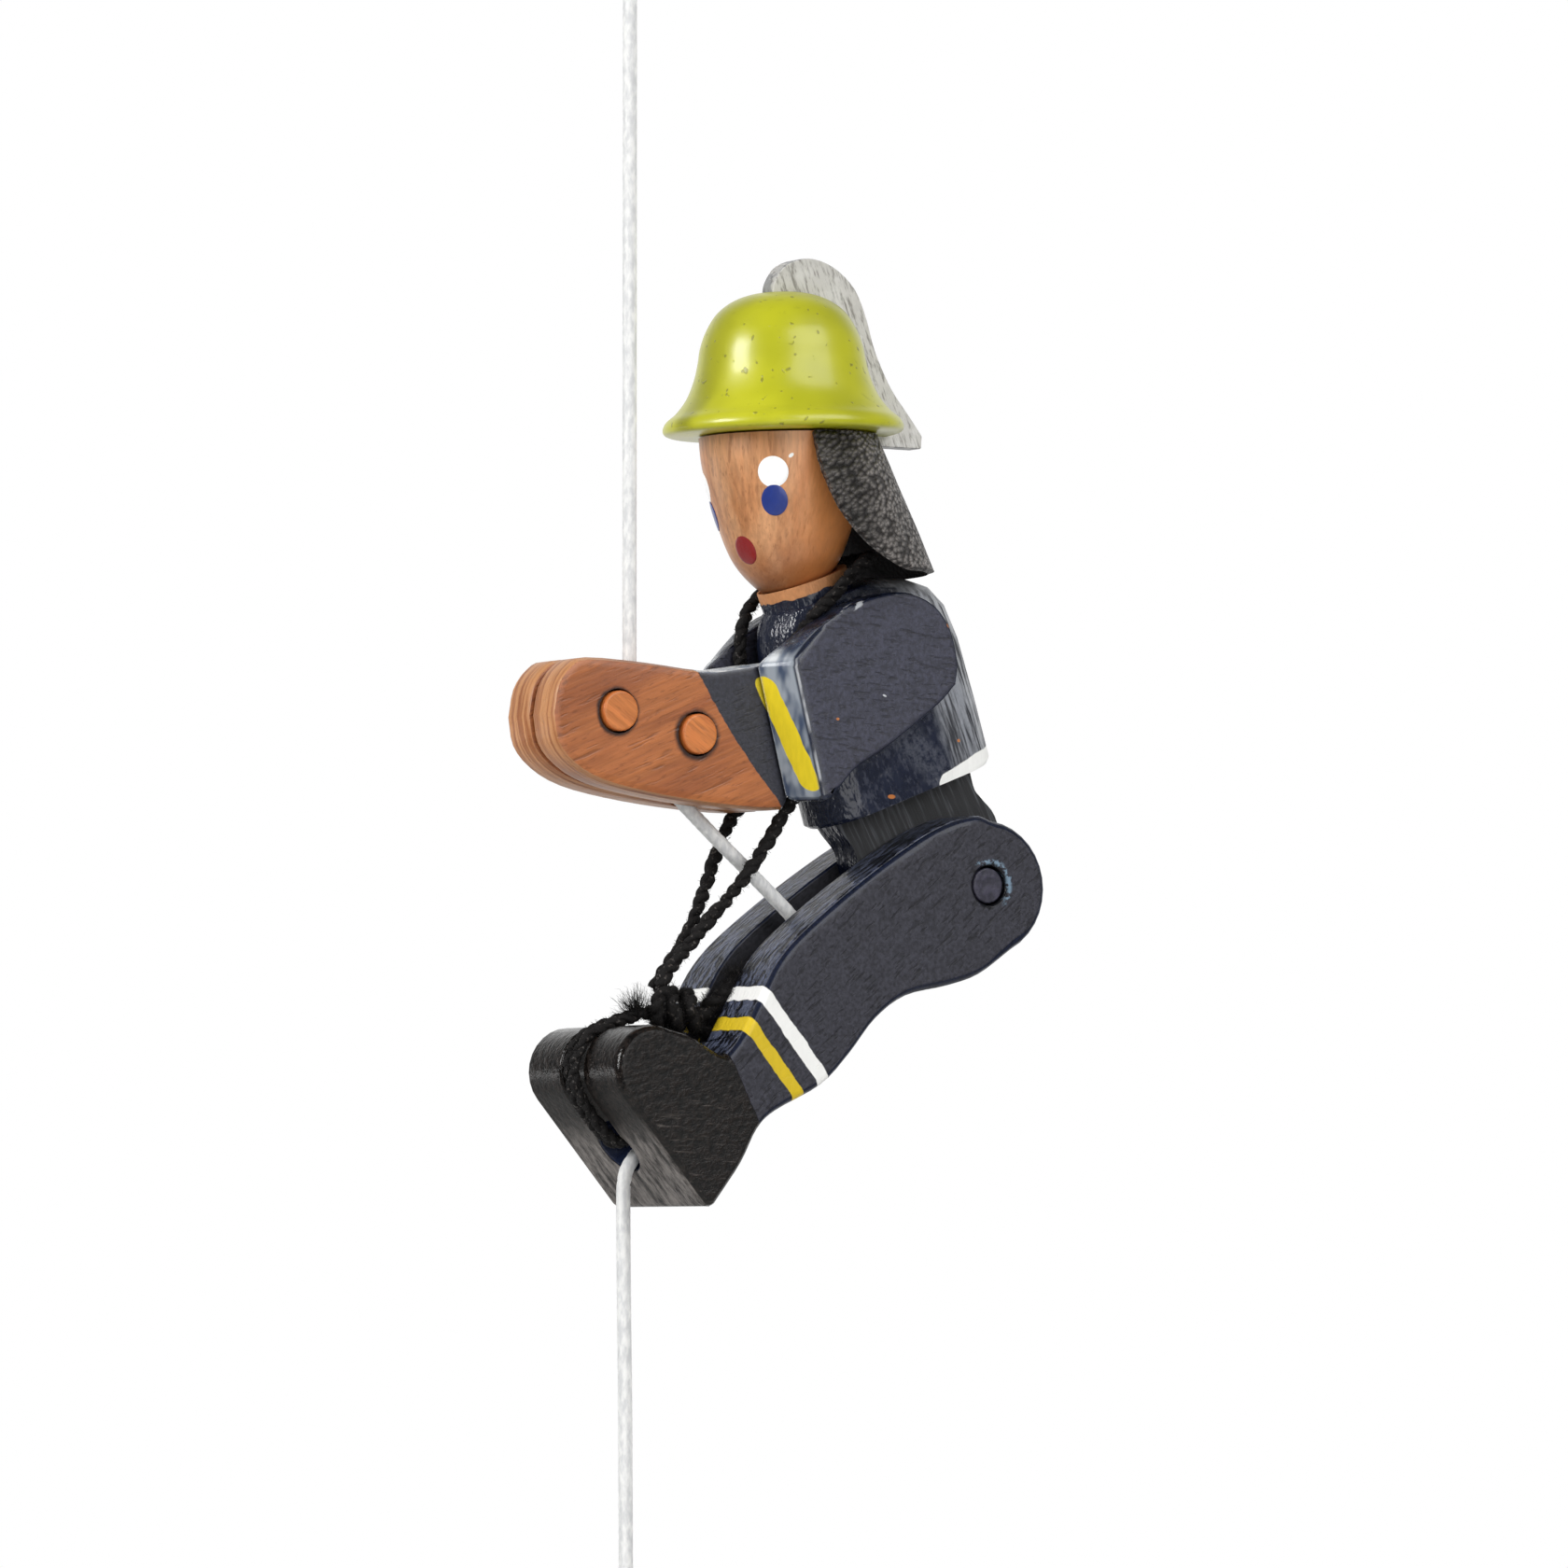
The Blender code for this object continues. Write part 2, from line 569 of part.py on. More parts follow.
def make_helmet(helmet_frame, materials):
    socket_radius = SPIGOT_RADIUS + PIN_CLEARANCE
    socket_top = SPIGOT_LENGTH + SEAT_GAP
    brim = [(BRIM_RADIUS - 0.0009, 0.0), (BRIM_RADIUS - 0.0002, 0.0003), (BRIM_RADIUS, 0.0010)]
    dome = [tuple(point) for point in curve_through([brim[-1], *HELMET_PROFILE], 2)]
    profile = [*brim, *dome[1:], (0.0010, DOME_HEIGHT)]
    helmet = turned("helmet", profile, helmet_frame, materials["lime_lacquer"])
    socket = turned(
        "spigot_socket_cutter", [(socket_radius, -CUT_REACH), (socket_radius, socket_top)], helmet_frame
    )
    boolean(helmet, socket)

    outline = joined(curve_through(CREST_OUTER), curve_through(CREST_FOOT, 1), curve_through(CREST_SEAT))
    half = CREST_THICKNESS / 2
    crest = plate("helmet_crest", outline, -half, half, helmet_frame, materials["silver_paint"])
    crest.data.set_sharp_from_angle(angle=math.radians(40.0))
    slot_half = half + SEAT_GAP
    boolean(helmet, plate("crest_slot_cutter", grown(outline, SEAT_GAP), -slot_half, slot_half, helmet_frame))


def flap_point(across, down, thickness):
    """Place on the flap: across from -1 to 1 round the back, down its length from the brim."""
    share = down / FLAP_LENGTH
    widening = FLAP_TOP_HALF_ANGLE - FLAP_BACK_HALF_ANGLE
    half_angle = FLAP_BACK_HALF_ANGLE + widening * math.sqrt(max(0.0, 1.0 - share**2))
    radius = FLAP_TOP_RADIUS + down * math.sin(FLAP_FLARE) + thickness * math.cos(FLAP_FLARE)
    height = -SEAT_GAP - down * math.cos(FLAP_FLARE) - (FLAP_THICKNESS - thickness) * math.sin(FLAP_FLARE)
    angle = across * half_angle
    return (radius * math.cos(angle), radius * math.sin(angle), height)


def make_flap(helmet_frame, materials):
    columns = 28
    rows = 6
    bm = bmesh.new()
    rings = []
    for row in range(rows + 1):
        down = FLAP_LENGTH * math.sin(0.5 * math.pi * row / rows)
        across = [2.0 * column / columns - 1.0 for column in range(columns + 1)]
        outer = [bm.verts.new(flap_point(step, down, FLAP_THICKNESS)) for step in across]
        inner = [bm.verts.new(flap_point(step, down, 0.0)) for step in reversed(across)]
        rings.append(outer + inner)
    for ring, low in zip((rings[0], rings[-1]), (True, False)):
        for index in range(columns):
            quad = (ring[index], ring[index + 1], ring[-index - 2], ring[-index - 1])
            bm.faces.new(quad if low else quad[::-1])
    for lower, upper in zip(rings, rings[1:]):
        for index in range(len(lower)):
            follow = (index + 1) % len(lower)
            bm.faces.new((lower[index], lower[follow], upper[follow], upper[index]))
    add_mesh("neck_flap", bm, helmet_frame, materials["leather"])


def mitred(outline):
    """Outer outline of an upper arm: its front end slopes back from the inner one."""
    low_end, high_end = Vector(UPPER_ARM_BOTTOM[-1]), Vector(UPPER_ARM_TOP[0])
    result = []
    for point in outline:
        front = low_end.lerp(high_end, (point.y - low_end.y) / (high_end.y - low_end.y))
        fade = max(0.0, 1.0 - max(0.0, point.x - front.x) / UPPER_ARM_MITRE_LENGTH)
        result.append(point + Vector((UPPER_ARM_MITRE * fade, 0.0)))
    return result


def make_arms(grip_frame, materials):
    forearm = joined(*[curve_through(run, 3) for run in (FOREARM_TOP, FOREARM_BACK, FOREARM_BOTTOM)])
    upper_arm = joined(curve_through(UPPER_ARM_TOP), curve_through(UPPER_ARM_BOTTOM))
    route = [Vector((x - GRIP_PIVOT[0], 0.0, z - GRIP_PIVOT[1])) for x, z in curve_through(HANDS_ROUTE)]
    lead_in = 4 * route[0] - 3 * route[1]
    run_out = 4 * route[-1] - 3 * route[-2]
    groove_width = CORD_D + 2 * CORD_CLEARANCE
    groove = channel("cord_channel_cutter", [lead_in, *route, run_out], groove_width, grip_frame)
    peg_hole_d = PEG_D + 2 * PIN_CLEARANCE
    peg_holes = []
    for name, place in (("front", FRONT_PEG), ("rear", REAR_PEG)):
        peg_holes.append(rod(f"{name}_peg_cutter", place, peg_hole_d, -CUT_REACH, CUT_REACH, grip_frame))
        end = TORSO_HALF_WIDTH + PEG_PROUD
        rod(f"{name}_hand_peg", place, PEG_D, -end, end, grip_frame, materials["beech"])

    for side, sign in (("left", -1.0), ("right", 1.0)):
        low, high = sorted((sign * SEAT_GAP / 2, sign * TORSO_HALF_WIDTH))
        name = f"forearm_{side}"
        arm = plate(name, forearm, low, high, grip_frame, materials["beech"], None, HAND_EDGE_ROUND)
        for cutter in (groove, *peg_holes):
            boolean(arm, cutter)
        inner = sign * UPPER_ARM_INNER
        outer = sign * (UPPER_ARM_INNER + UPPER_ARM_THICKNESS)
        plate(
            f"upper_arm_{side}", upper_arm, inner, outer, grip_frame, materials["navy_paint"], mitred(upper_arm),
            UPPER_ARM_EDGE_ROUND,
        )


def knot_profile(radius, length, turns):
    """Barrel of a wound knot: one ridge for each turn of the cord round itself."""
    steps = 5 * turns
    profile = []
    for step in range(1, steps):
        share = step / steps
        barrel = math.sin(math.pi * share) ** 0.5
        ridge = 1.0 - 0.12 * (1.0 + math.cos(2 * math.pi * turns * share)) / 2
        profile.append((radius * barrel * ridge, length * share))
    return profile


def make_cord(materials):
    white = materials["white_cord"]
    tube("hanging_loop", middle(curve_through(LOOP_ROUTE, 2)), CORD_D, None, white)
    cord_knot = knot_profile(KNOT_RADIUS, LOOP_KNOT_LENGTH, 3)
    loop_knot = turned("loop_knot", cord_knot, None, white, KNOT_SEGMENTS)
    loop_knot.location.z = LOOP_KNOT_TOP - LOOP_KNOT_LENGTH
    tube("cord_upper", middle(curve_through(UPPER_ROUTE, 1)), CORD_D, None, white)
    tube("cord_in_hands", middle(curve_through(HANDS_ROUTE, 2)), CORD_D, None, white)
    tube("cord_crossing", middle(curve_through(CROSSING_ROUTE, 1)), CORD_D, None, white)

    wrap_radius = (CORD_PIN_D + CORD_D) / 2 + PIN_CLEARANCE
    wrap = arc((CORD_PIN_DOWN, CORD_PIN_FORWARD), wrap_radius, 180.0, 278.0, 4)
    in_legs = leg_to_world([*LEG_CORD_IN, *[tuple(point) for point in wrap], *LEG_CORD_OUT])
    tube("cord_in_legs", middle(curve_through([*in_legs, *LEG_CORD_DROP], 1)), CORD_D, None, white)
    tube("cord_lower", middle(curve_through(LOWER_ROUTE, 1)), CORD_D, None, white)
    end_knot = turned("end_knot", cord_knot, None, white, KNOT_SEGMENTS)
    end_knot.location = (LOWER_ROUTE[-1][0], 0.0, END_KNOT_TOP - LOOP_KNOT_LENGTH)


def make_elastic(materials):
    black = materials["black_elastic"]
    left_side = [*LEFT_NECK_ROUTE, *LEFT_STRAND]
    route = [*reversed(left_side), NAPE, *RIGHT_NECK_ROUTE, *RIGHT_STRAND]
    tube("elastic_band", curve_through(route, 1), ELASTIC_D, None, black)
    tied = knot_profile(ELASTIC_KNOT_RADIUS, ELASTIC_KNOT_LENGTH, 2)
    knot = turned("elastic_knot", tied, None, black, KNOT_SEGMENTS)
    knot.location = (ELASTIC_KNOT_FROM[0], 0.0, ELASTIC_KNOT_FROM[1])
    knot.rotation_euler.y = math.radians(94.0)
    tube("elastic_foot_loop", curve_through(FOOT_LOOP_ROUTE, 1), ELASTIC_D, None, black)


def main():
    clear_scene()
    materials = make_materials()
    grip_frame = pivot("grip_pivot", GRIP_PIVOT, 0.0, None)
    hip_offset = (HIP_PIVOT[0] - GRIP_PIVOT[0], HIP_PIVOT[1] - GRIP_PIVOT[1])
    head_offset = (HEAD_SEAT[0] - GRIP_PIVOT[0], HEAD_SEAT[1] - GRIP_PIVOT[1])
    torso_frame = pivot("torso_frame", hip_offset, -TORSO_LEAN, grip_frame)
    leg_frame = pivot("hip_pivot", hip_offset, LEG_SWING, grip_frame)
    head_frame = pivot("head_frame", head_offset, -HEAD_LEAN, grip_frame)
    helmet_frame = pivot("helmet_frame", (0.0, BRIM_UP), 0.0, head_frame)

    torso = make_torso(torso_frame, materials)
    make_head(head_frame, torso_frame, torso, materials)
    make_helmet(helmet_frame, materials)
    make_flap(helmet_frame, materials)
    make_arms(grip_frame, materials)
    make_legs(leg_frame, materials)
    make_cord(materials)
    make_elastic(materials)


main()
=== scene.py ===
"""Looks of the rope climbing toy: painted wood, leather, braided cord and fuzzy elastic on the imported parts.

Units are metres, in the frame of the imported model. The figure faces -X and its left side faces -Y.
"""

import json
import math
import random

import bmesh
import bpy
import numpy as np
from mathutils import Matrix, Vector

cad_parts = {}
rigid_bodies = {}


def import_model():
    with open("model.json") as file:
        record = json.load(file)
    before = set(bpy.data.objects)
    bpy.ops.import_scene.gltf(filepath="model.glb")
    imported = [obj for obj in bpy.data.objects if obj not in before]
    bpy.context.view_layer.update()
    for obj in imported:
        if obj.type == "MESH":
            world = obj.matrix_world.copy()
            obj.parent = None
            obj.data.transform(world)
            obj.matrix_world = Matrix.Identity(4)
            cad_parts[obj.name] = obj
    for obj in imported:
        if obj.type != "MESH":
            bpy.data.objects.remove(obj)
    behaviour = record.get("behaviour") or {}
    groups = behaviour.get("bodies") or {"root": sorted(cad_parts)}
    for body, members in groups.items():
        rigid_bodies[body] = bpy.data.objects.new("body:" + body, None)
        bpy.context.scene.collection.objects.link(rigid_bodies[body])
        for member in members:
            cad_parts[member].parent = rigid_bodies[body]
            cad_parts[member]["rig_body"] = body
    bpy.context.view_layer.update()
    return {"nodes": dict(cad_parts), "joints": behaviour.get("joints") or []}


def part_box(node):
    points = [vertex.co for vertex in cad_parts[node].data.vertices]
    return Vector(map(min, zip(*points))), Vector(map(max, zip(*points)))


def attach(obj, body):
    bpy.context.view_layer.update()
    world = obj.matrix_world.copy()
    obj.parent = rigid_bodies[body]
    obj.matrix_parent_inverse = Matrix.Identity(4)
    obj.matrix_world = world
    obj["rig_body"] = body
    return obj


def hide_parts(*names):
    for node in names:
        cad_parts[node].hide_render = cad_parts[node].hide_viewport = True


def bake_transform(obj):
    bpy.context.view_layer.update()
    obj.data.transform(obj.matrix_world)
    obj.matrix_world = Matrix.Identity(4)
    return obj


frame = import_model()

# Camera of the photograph
VIEW_AZIMUTH = math.radians(-32.0)
VIEW_ELEVATION = math.radians(-3.0)
VIEW_TARGET = Vector((0.01815, -0.0113, -0.1307))
VIEW_DISTANCE = 1.25
VIEW_HEIGHT = 0.2167
SENSOR = 36.0
FLOOR_GLOW = 0.5
ROOM_LEVEL = 0.22
WHITE = (1.0, 1.0, 1.0, 1.0)
# Azimuth, elevation, distance, width, height and power of each lamp
SOFTBOXES = {
    "key_softbox": (-93.0, 22.0, 1.3, 0.50, 0.60, 14.5),
    "fill_softbox": (12.0, 34.0, 1.5, 1.4, 1.0, 16.5),
    "front_softbox": (-14.0, -6.0, 1.5, 1.2, 0.80, 6.2),
    "rim_softbox": (-148.0, -7.0, 1.3, 0.26, 0.20, 0.45),
}

# Frames of the parts
JOINTS = {joint["name"]: joint for joint in frame["joints"]}
HIP = Vector(JOINTS["hip"]["pos_m"])
GRIP = Vector(JOINTS["hand_pivot"]["pos_m"])
LEG_SWING = math.radians(49.4)
LEG_DOWN = Vector((-math.sin(LEG_SWING), 0.0, -math.cos(LEG_SWING)))
LEG_FORWARD = Vector((-math.cos(LEG_SWING), 0.0, math.sin(LEG_SWING)))
TORSO_LEAN = math.radians(21.0)
TORSO_UP = Vector((-math.sin(TORSO_LEAN), 0.0, math.cos(TORSO_LEAN)))
TORSO_BACK = Vector((math.cos(TORSO_LEAN), 0.0, math.sin(TORSO_LEAN)))
HEAD_FOOT = Vector((0.0257, 0.0, -0.1040))
HEAD_LEAN = math.radians(1.5)
HEAD_UP = Vector((-math.sin(HEAD_LEAN), 0.0, math.cos(HEAD_LEAN)))
HEAD_FRONT = Vector((-math.cos(HEAD_LEAN), 0.0, -math.sin(HEAD_LEAN)))
HEAD_SIDE = HEAD_UP.cross(HEAD_FRONT)
FRONT_PEG = (-0.0067, 0.0, 0.0022)
REAR_PEG = (0.0060, 0.0, -0.0006)
BRIM_UP = 0.0229
HELMET_FOOT = HEAD_FOOT + BRIM_UP * HEAD_UP
PEG_BORE = 0.0031
SLOT_HALF = 0.0030
SOLE_BORE_FORWARD = 0.0067
SOLE_BORE = 0.0039
CORNER_BEHIND = 0.0140
CORNER_LENGTH = 0.0040
CORNER_BELOW = 0.0050
CORNER_BACK = 0.0024
CORNER_DROP = 0.0002
SHARP = math.radians(40.0)

# Edges of paint: a band on the cuff, the hem, the collar, the stripes and the boots
PAINT_SOFT = 0.00008
CUFF_BAND_ACROSS = (0.848, 0.530, 0.455)
CUFF_BAND_PLACE = 0.01832
CUFF_BAND_LEVEL = -0.1157
CUFF_BAND_MIDDLE = -0.1236
CUFF_BAND_HALF = 0.0065
CUFF_BAND_RADIUS = 0.00144
TONGUE_UP = 0.0150
HEM_UP = 0.0149
COLLAR_UP = 0.0469
WHITE_STRIPE = (0.0380, 0.0401)
YELLOW_STRIPE = (0.0426, 0.0446)
BOOT_DOWN = 0.0510

# Dabs on the face as height, half width, half height and lift off the wood
FACE_TURN = math.radians(10.5)
MOUTH_TURN = math.radians(13.5)
EYE_SPREAD = math.radians(39.5)
RIGHT_EYE_DROP = 0.0014
EYE_WHITE = (0.0170, 0.00215, 0.00215, 0.00003)
EYE_BLUE = (0.0131, 0.00185, 0.00212, 0.00008)
MOUTH = (0.0065, 0.00185, 0.00195, 0.00003)
DAB_DOME = 0.00011
DAB_ROOT = -0.0003
DAB_SIDES = 36
DAB_SHARES = (1.0, 0.94, 0.84, 0.6, 0.3, 0.06)

# Turned outlines as radii and heights, up the outside
HEAD_PROFILE = [
    (0.0019, 0.00015), (0.0046, 0.0017), (0.0077, 0.0056),
    (0.0100, 0.0120), (0.0115, 0.0185), (0.0119, 0.0226),
]
HELMET_PROFILE = [
    (0.0160, 0.0), (0.0167, 0.0003), (0.0169, 0.0010), (0.0164, 0.0020), (0.0150, 0.0032),
    (0.0135, 0.0052), (0.0124, 0.0078), (0.0118, 0.0102), (0.0114, 0.0124), (0.0105, 0.0148),
    (0.0089, 0.0172), (0.0065, 0.0189), (0.0036, 0.0198), (0.0006, 0.0200),
]
PROFILE_STEP = 0.0003
TURNED_SIDES = 128

# Cord and elastic
CORD_D = 0.0020
CORD_CARRIERS = 8
CORD_PITCH = 0.0095
CORD_STEP = 0.00028
CORD_SIDES = 26
CORD_TUCK = 0.0016
KNOT_CORE = 0.0007
KNOT_WINDS = 3.0
ELASTIC_D = 0.0021
ELASTIC_PITCH = 0.0040
ELASTIC_STEP = 0.00022
STRAND_SIDES = 12
LUMP_STEP = 0.0007
HAIR = 0.000030
TUFT_HAIR = 0.000032
FOOT_STRAND_SHIFT = 0.00075


def paint(code):
    """Linear colour of an sRGB hex code."""
    values = [int(code[place:place + 2], 16) / 255 for place in (1, 3, 5)]
    return (*[v / 12.92 if v <= 0.04045 else ((v + 0.055) / 1.055) ** 2.4 for v in values], 1.0)


NAVY = "#141a2c"
# The slate and front colours are the navy paint on its flat sides and on its faces across the grain: lit
# copies of the navy, painted light, with a dull haze on the flat sides
SLATE = "#353644"
CUFF_SLATE = "#292a34"
TROUSER_SLATE = "#34343c"
SLATE_FRONT = "#4b5164"
ARM_FRONT = "#1b2236"
PALE_WEAR_AND_HIGHLIGHT = "#b9bcc0"
WOOD_CHIP = "#b8703a"
RAW_WOOD = "#c98a58"
WHITE_PAINT = "#efefec"
YELLOW_PAINT = "#dcc422"
TROUSER_YELLOW = "#d3b624"
BOOT_BLACK = "#120e0c"
BOOT_SCRATCH = "#544d49"


class Value:
    """Output of a node, for sums and products with numbers and with other outputs."""

    def __init__(self, wires, socket):
        self.math = wires.math
        self.socket = socket

    def __add__(self, other):
        return self.math("ADD", self, other)

    def __sub__(self, other):
        return self.math("SUBTRACT", self, other)

    def __rsub__(self, other):
        return self.math("SUBTRACT", other, self)

    def __mul__(self, other):
        return self.math("MULTIPLY", self, other)

    def __abs__(self):
        return self.math("ABSOLUTE", self)

    __radd__ = __add__
    __rmul__ = __mul__


class Wires:
    """Nodes made by short calls. A number, a hex colour or a value can be given alike."""

    def __init__(self, tree):
        self.nodes = tree.nodes
        self.links = tree.links

    def put(self, socket, value):
        if isinstance(value, Value):
            self.links.new(value.socket, socket)
        else:
            socket.default_value = paint(value) if isinstance(value, str) else value

    def node(self, kind, given, output=0, **settings):
        """Output of a new node whose sockets are given by name or number."""
        node = self.nodes.new(kind)
        for name, value in settings.items():
            setattr(node, name, value)
        for name, value in given.items():
            self.put(node.inputs[name], value)
        return Value(self, node.outputs[output])

    def math(self, operation, first, second=0.0):
        return self.node("ShaderNodeMath", {0: first, 1: second}, operation=operation)

    def reach(self, first, second):
        """Distance that two distances square to each other make."""
        return self.math("SQRT", first * first + second * second)

    def ramp(self, value, low, high):
        """Smooth step from 0 at low to 1 at high; low may lie over high."""
        return self.node("ShaderNodeMapRange", {0: value, 1: low, 2: high}, interpolation_type="SMOOTHSTEP")

    def band(self, value, low, high, soft):
        return self.ramp(value, low - soft, low + soft) * self.ramp(value, high + soft, high - soft)

    def dot(self, vector, direction):
        return self.node("ShaderNodeVectorMath", {0: vector, 1: direction}, "Value", operation="DOT_PRODUCT")

    def mix(self, factor, first, second, strength=1.0):
        """Colour between two colours."""
        if strength != 1.0:
            factor = factor * strength
        return self.node("ShaderNodeMix", {0: factor, 6: first, 7: second}, 2, data_type="RGBA")

    def blend(self, factor, first, second):
        """Number between two numbers."""
        return self.node("ShaderNodeMix", {0: factor, 2: first, 3: second}, data_type="FLOAT")

    def scaled(self, colour, factor):
        vector = paint(colour)[:3] if isinstance(colour, str) else colour
        return self.node("ShaderNodeVectorMath", {0: vector, "Scale": factor}, operation="SCALE")

    def shaded(self, colour, pattern, low, high):
        """Colour made darker and lighter by a pattern."""
        return self.scaled(colour, self.blend(pattern, low, high))


class Look(Wires):
    """One material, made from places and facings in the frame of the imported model."""

    def __init__(self, name, **constants):
        self.material = bpy.data.materials.new(name)
        self.material.use_nodes = True
        super().__init__(self.material.node_tree)
        self.shader = self.nodes["Principled BSDF"]
        for socket, value in constants.items():
            self.shader.inputs[socket.replace("_", " ")].default_value = value
        self.place = self.node("ShaderNodeTexCoord", {}, "Object")
        self.facing = self.node("ShaderNodeTexCoord", {}, "Normal")
        self.normal = self.parts(self.facing)
        self.x, self.y, self.z = self.parts(self.place)

    def parts(self, vector):
        return [self.node("ShaderNodeSeparateXYZ", {0: vector}, axis) for axis in range(3)]

    def sideways(self, low, high):
        """Step by how far the surface faces either side."""
        return self.ramp(abs(self.normal[1]), low, high)

    def along(self, direction, origin):
        """Distance along a direction from an origin."""
        return self.dot(self.place, direction) - Vector(direction).dot(origin)

    def turned_to(self, direction):
        """How far the surface faces a direction."""
        return self.dot(self.facing, direction)

    def mapped(self, size, turn, centre=(0.0, 0.0, 0.0)):
        """Places about a centre, counted in a given size and turned about Y."""
        given = {"Vector": self.place, "Location": centre, "Rotation": (0.0, turn, 0.0), "Scale": size}
        return self.node("ShaderNodeMapping", given, vector_type="TEXTURE")

    def noise(self, size, turn=0.0, detail=2.0, roughness=0.55):
        """Noise with features of a given size in metres, turned about Y."""
        lengths = size if isinstance(size, tuple) else (size, size, size)
        given = {"Vector": self.mapped(lengths, turn), "Scale": 1.0, "Detail": detail, "Roughness": roughness}
        return self.node("ShaderNodeTexNoise", given, "Fac")

    def patches(self, low, high, *given, **named):
        """Noise stepped from 0 at low to 1 at high."""
        return self.ramp(self.noise(*given, **named), low, high)

    def wobble(self, size, depth):
        """Noise to both sides of 0."""
        return self.blend(self.noise(size), -depth, depth)

    def pebbles(self, size, turn):
        """Distance from the middles of scattered cells of a given size, turned about Y."""
        given = {"Vector": self.mapped(size, turn), "Scale": 1.0}
        return self.node("ShaderNodeTexVoronoi", given, "Distance")

    def spot(self, centre, radius, stretch=1.0, turn=0.0):
        """Blot about a place, longer by a factor along X turned about Y."""
        places = self.mapped((radius * stretch, radius, radius), turn, centre)
        distance = self.node("ShaderNodeVectorMath", {0: places}, "Value", operation="LENGTH")
        return self.ramp(distance, 1.0, 0.7)

    def finish(self, colour, roughness, height=None, depth=0.0):
        self.put(self.shader.inputs["Base Color"], colour)
        self.put(self.shader.inputs["Roughness"], roughness)
        if height is not None:
            bump = self.node("ShaderNodeBump", {"Distance": depth, "Height": height})
            self.put(self.shader.inputs["Normal"], bump)
        return self.material


# Finishes


def navy_layers(look, turn, side_haze_and_light, front_sheen):
    """Brushed navy paint on wood with its grain along X turned about Y, and painted light that differs by
    facing: colour, roughness and height.
    """
    flat = look.sideways(0.93, 0.99)
    edge_on = look.sideways(0.45, 0.20)
    speckle = look.noise(0.00055, detail=3.0, roughness=0.7)
    mottle = look.noise((0.0030, 0.0016, 0.0012), turn)
    dashes = look.patches(0.56, 0.66, (0.0030, 0.0012, 0.00055), turn)
    ridges = look.noise((0.0024, 0.0008, 0.0008), turn, 3.0, 0.65)
    # Faces across the grain get their ridges picked out lighter, a painted sheen with painted glints; flat
    # sides get a greyer slate, partly a dull haze and partly painted light
    front = look.mix(look.ramp(ridges, 0.44, 0.58), "#080a13", front_sheen)
    colour = look.mix(flat, NAVY, side_haze_and_light)
    colour = look.mix(edge_on, colour, front)
    shade = look.blend(look.ramp(speckle, 0.3, 0.7), 0.60, 1.36) * look.blend(mottle, 0.80, 1.18)
    shade = shade * look.blend(dashes * flat, 1.0, 0.55)
    roughness = look.blend(flat, look.blend(edge_on, 0.24, 0.28), 0.55)
    height = edge_on * ridges * 4.0 + flat * speckle * 0.50 + dashes * flat * -0.40
    return look.scaled(colour, shade), roughness, height


def wood_layers(look, turn, light, middle, dark, pitted):
    """Varnished fine-grained wood with its grain along X turned about Y: colour, roughness and height."""
    figure = look.noise((0.026, 0.004, 0.0030), turn)
    fibres = look.noise((0.0090, 0.0007, 0.00060), turn, 3.0, 0.65)
    pores = look.patches(0.60, 0.74, (0.0050, 0.0010, 0.00065), turn, 1.5)
    colour = look.mix(look.ramp(figure, 0.35, 0.65), light, middle)
    colour = look.shaded(colour, look.ramp(fibres, 0.28, 0.72), 0.80, 1.14)
    fine = look.patches(0.56, 0.70, (0.0020, 0.0006, 0.00042), turn)
    colour = look.mix(pores * 0.7 * pitted, colour, dark)
    colour = look.mix(fine * 0.6 * pitted, colour, dark)
    height = fibres * 0.5 + pores * -0.3
    return colour, look.blend(fibres, 0.32, 0.48), height


def arm_stripe(look):
    """Brushed yellow band with round ends that crosses the cuff and the step behind it."""
    ahead, outward, above = CUFF_BAND_ACROSS
    across = look.x * ahead + abs(look.y) * outward + (look.z - CUFF_BAND_LEVEL) * above
    aside = across - CUFF_BAND_PLACE + look.wobble(0.0030, 0.00030)
    from_middle = abs(look.z - CUFF_BAND_MIDDLE)
    beyond = look.math("MAXIMUM", from_middle - CUFF_BAND_HALF, 0.0)
    return look.ramp(look.reach(aside, beyond), CUFF_BAND_RADIUS + PAINT_SOFT, CUFF_BAND_RADIUS - PAINT_SOFT)


def stroke(look, colour, shade=0.10):
    """Paint with the streaks of a brush."""
    streaks = look.noise((0.0006, 0.0006, 0.0030))
    return look.shaded(colour, streaks, 1.0 - shade, 1.0 + shade / 2)


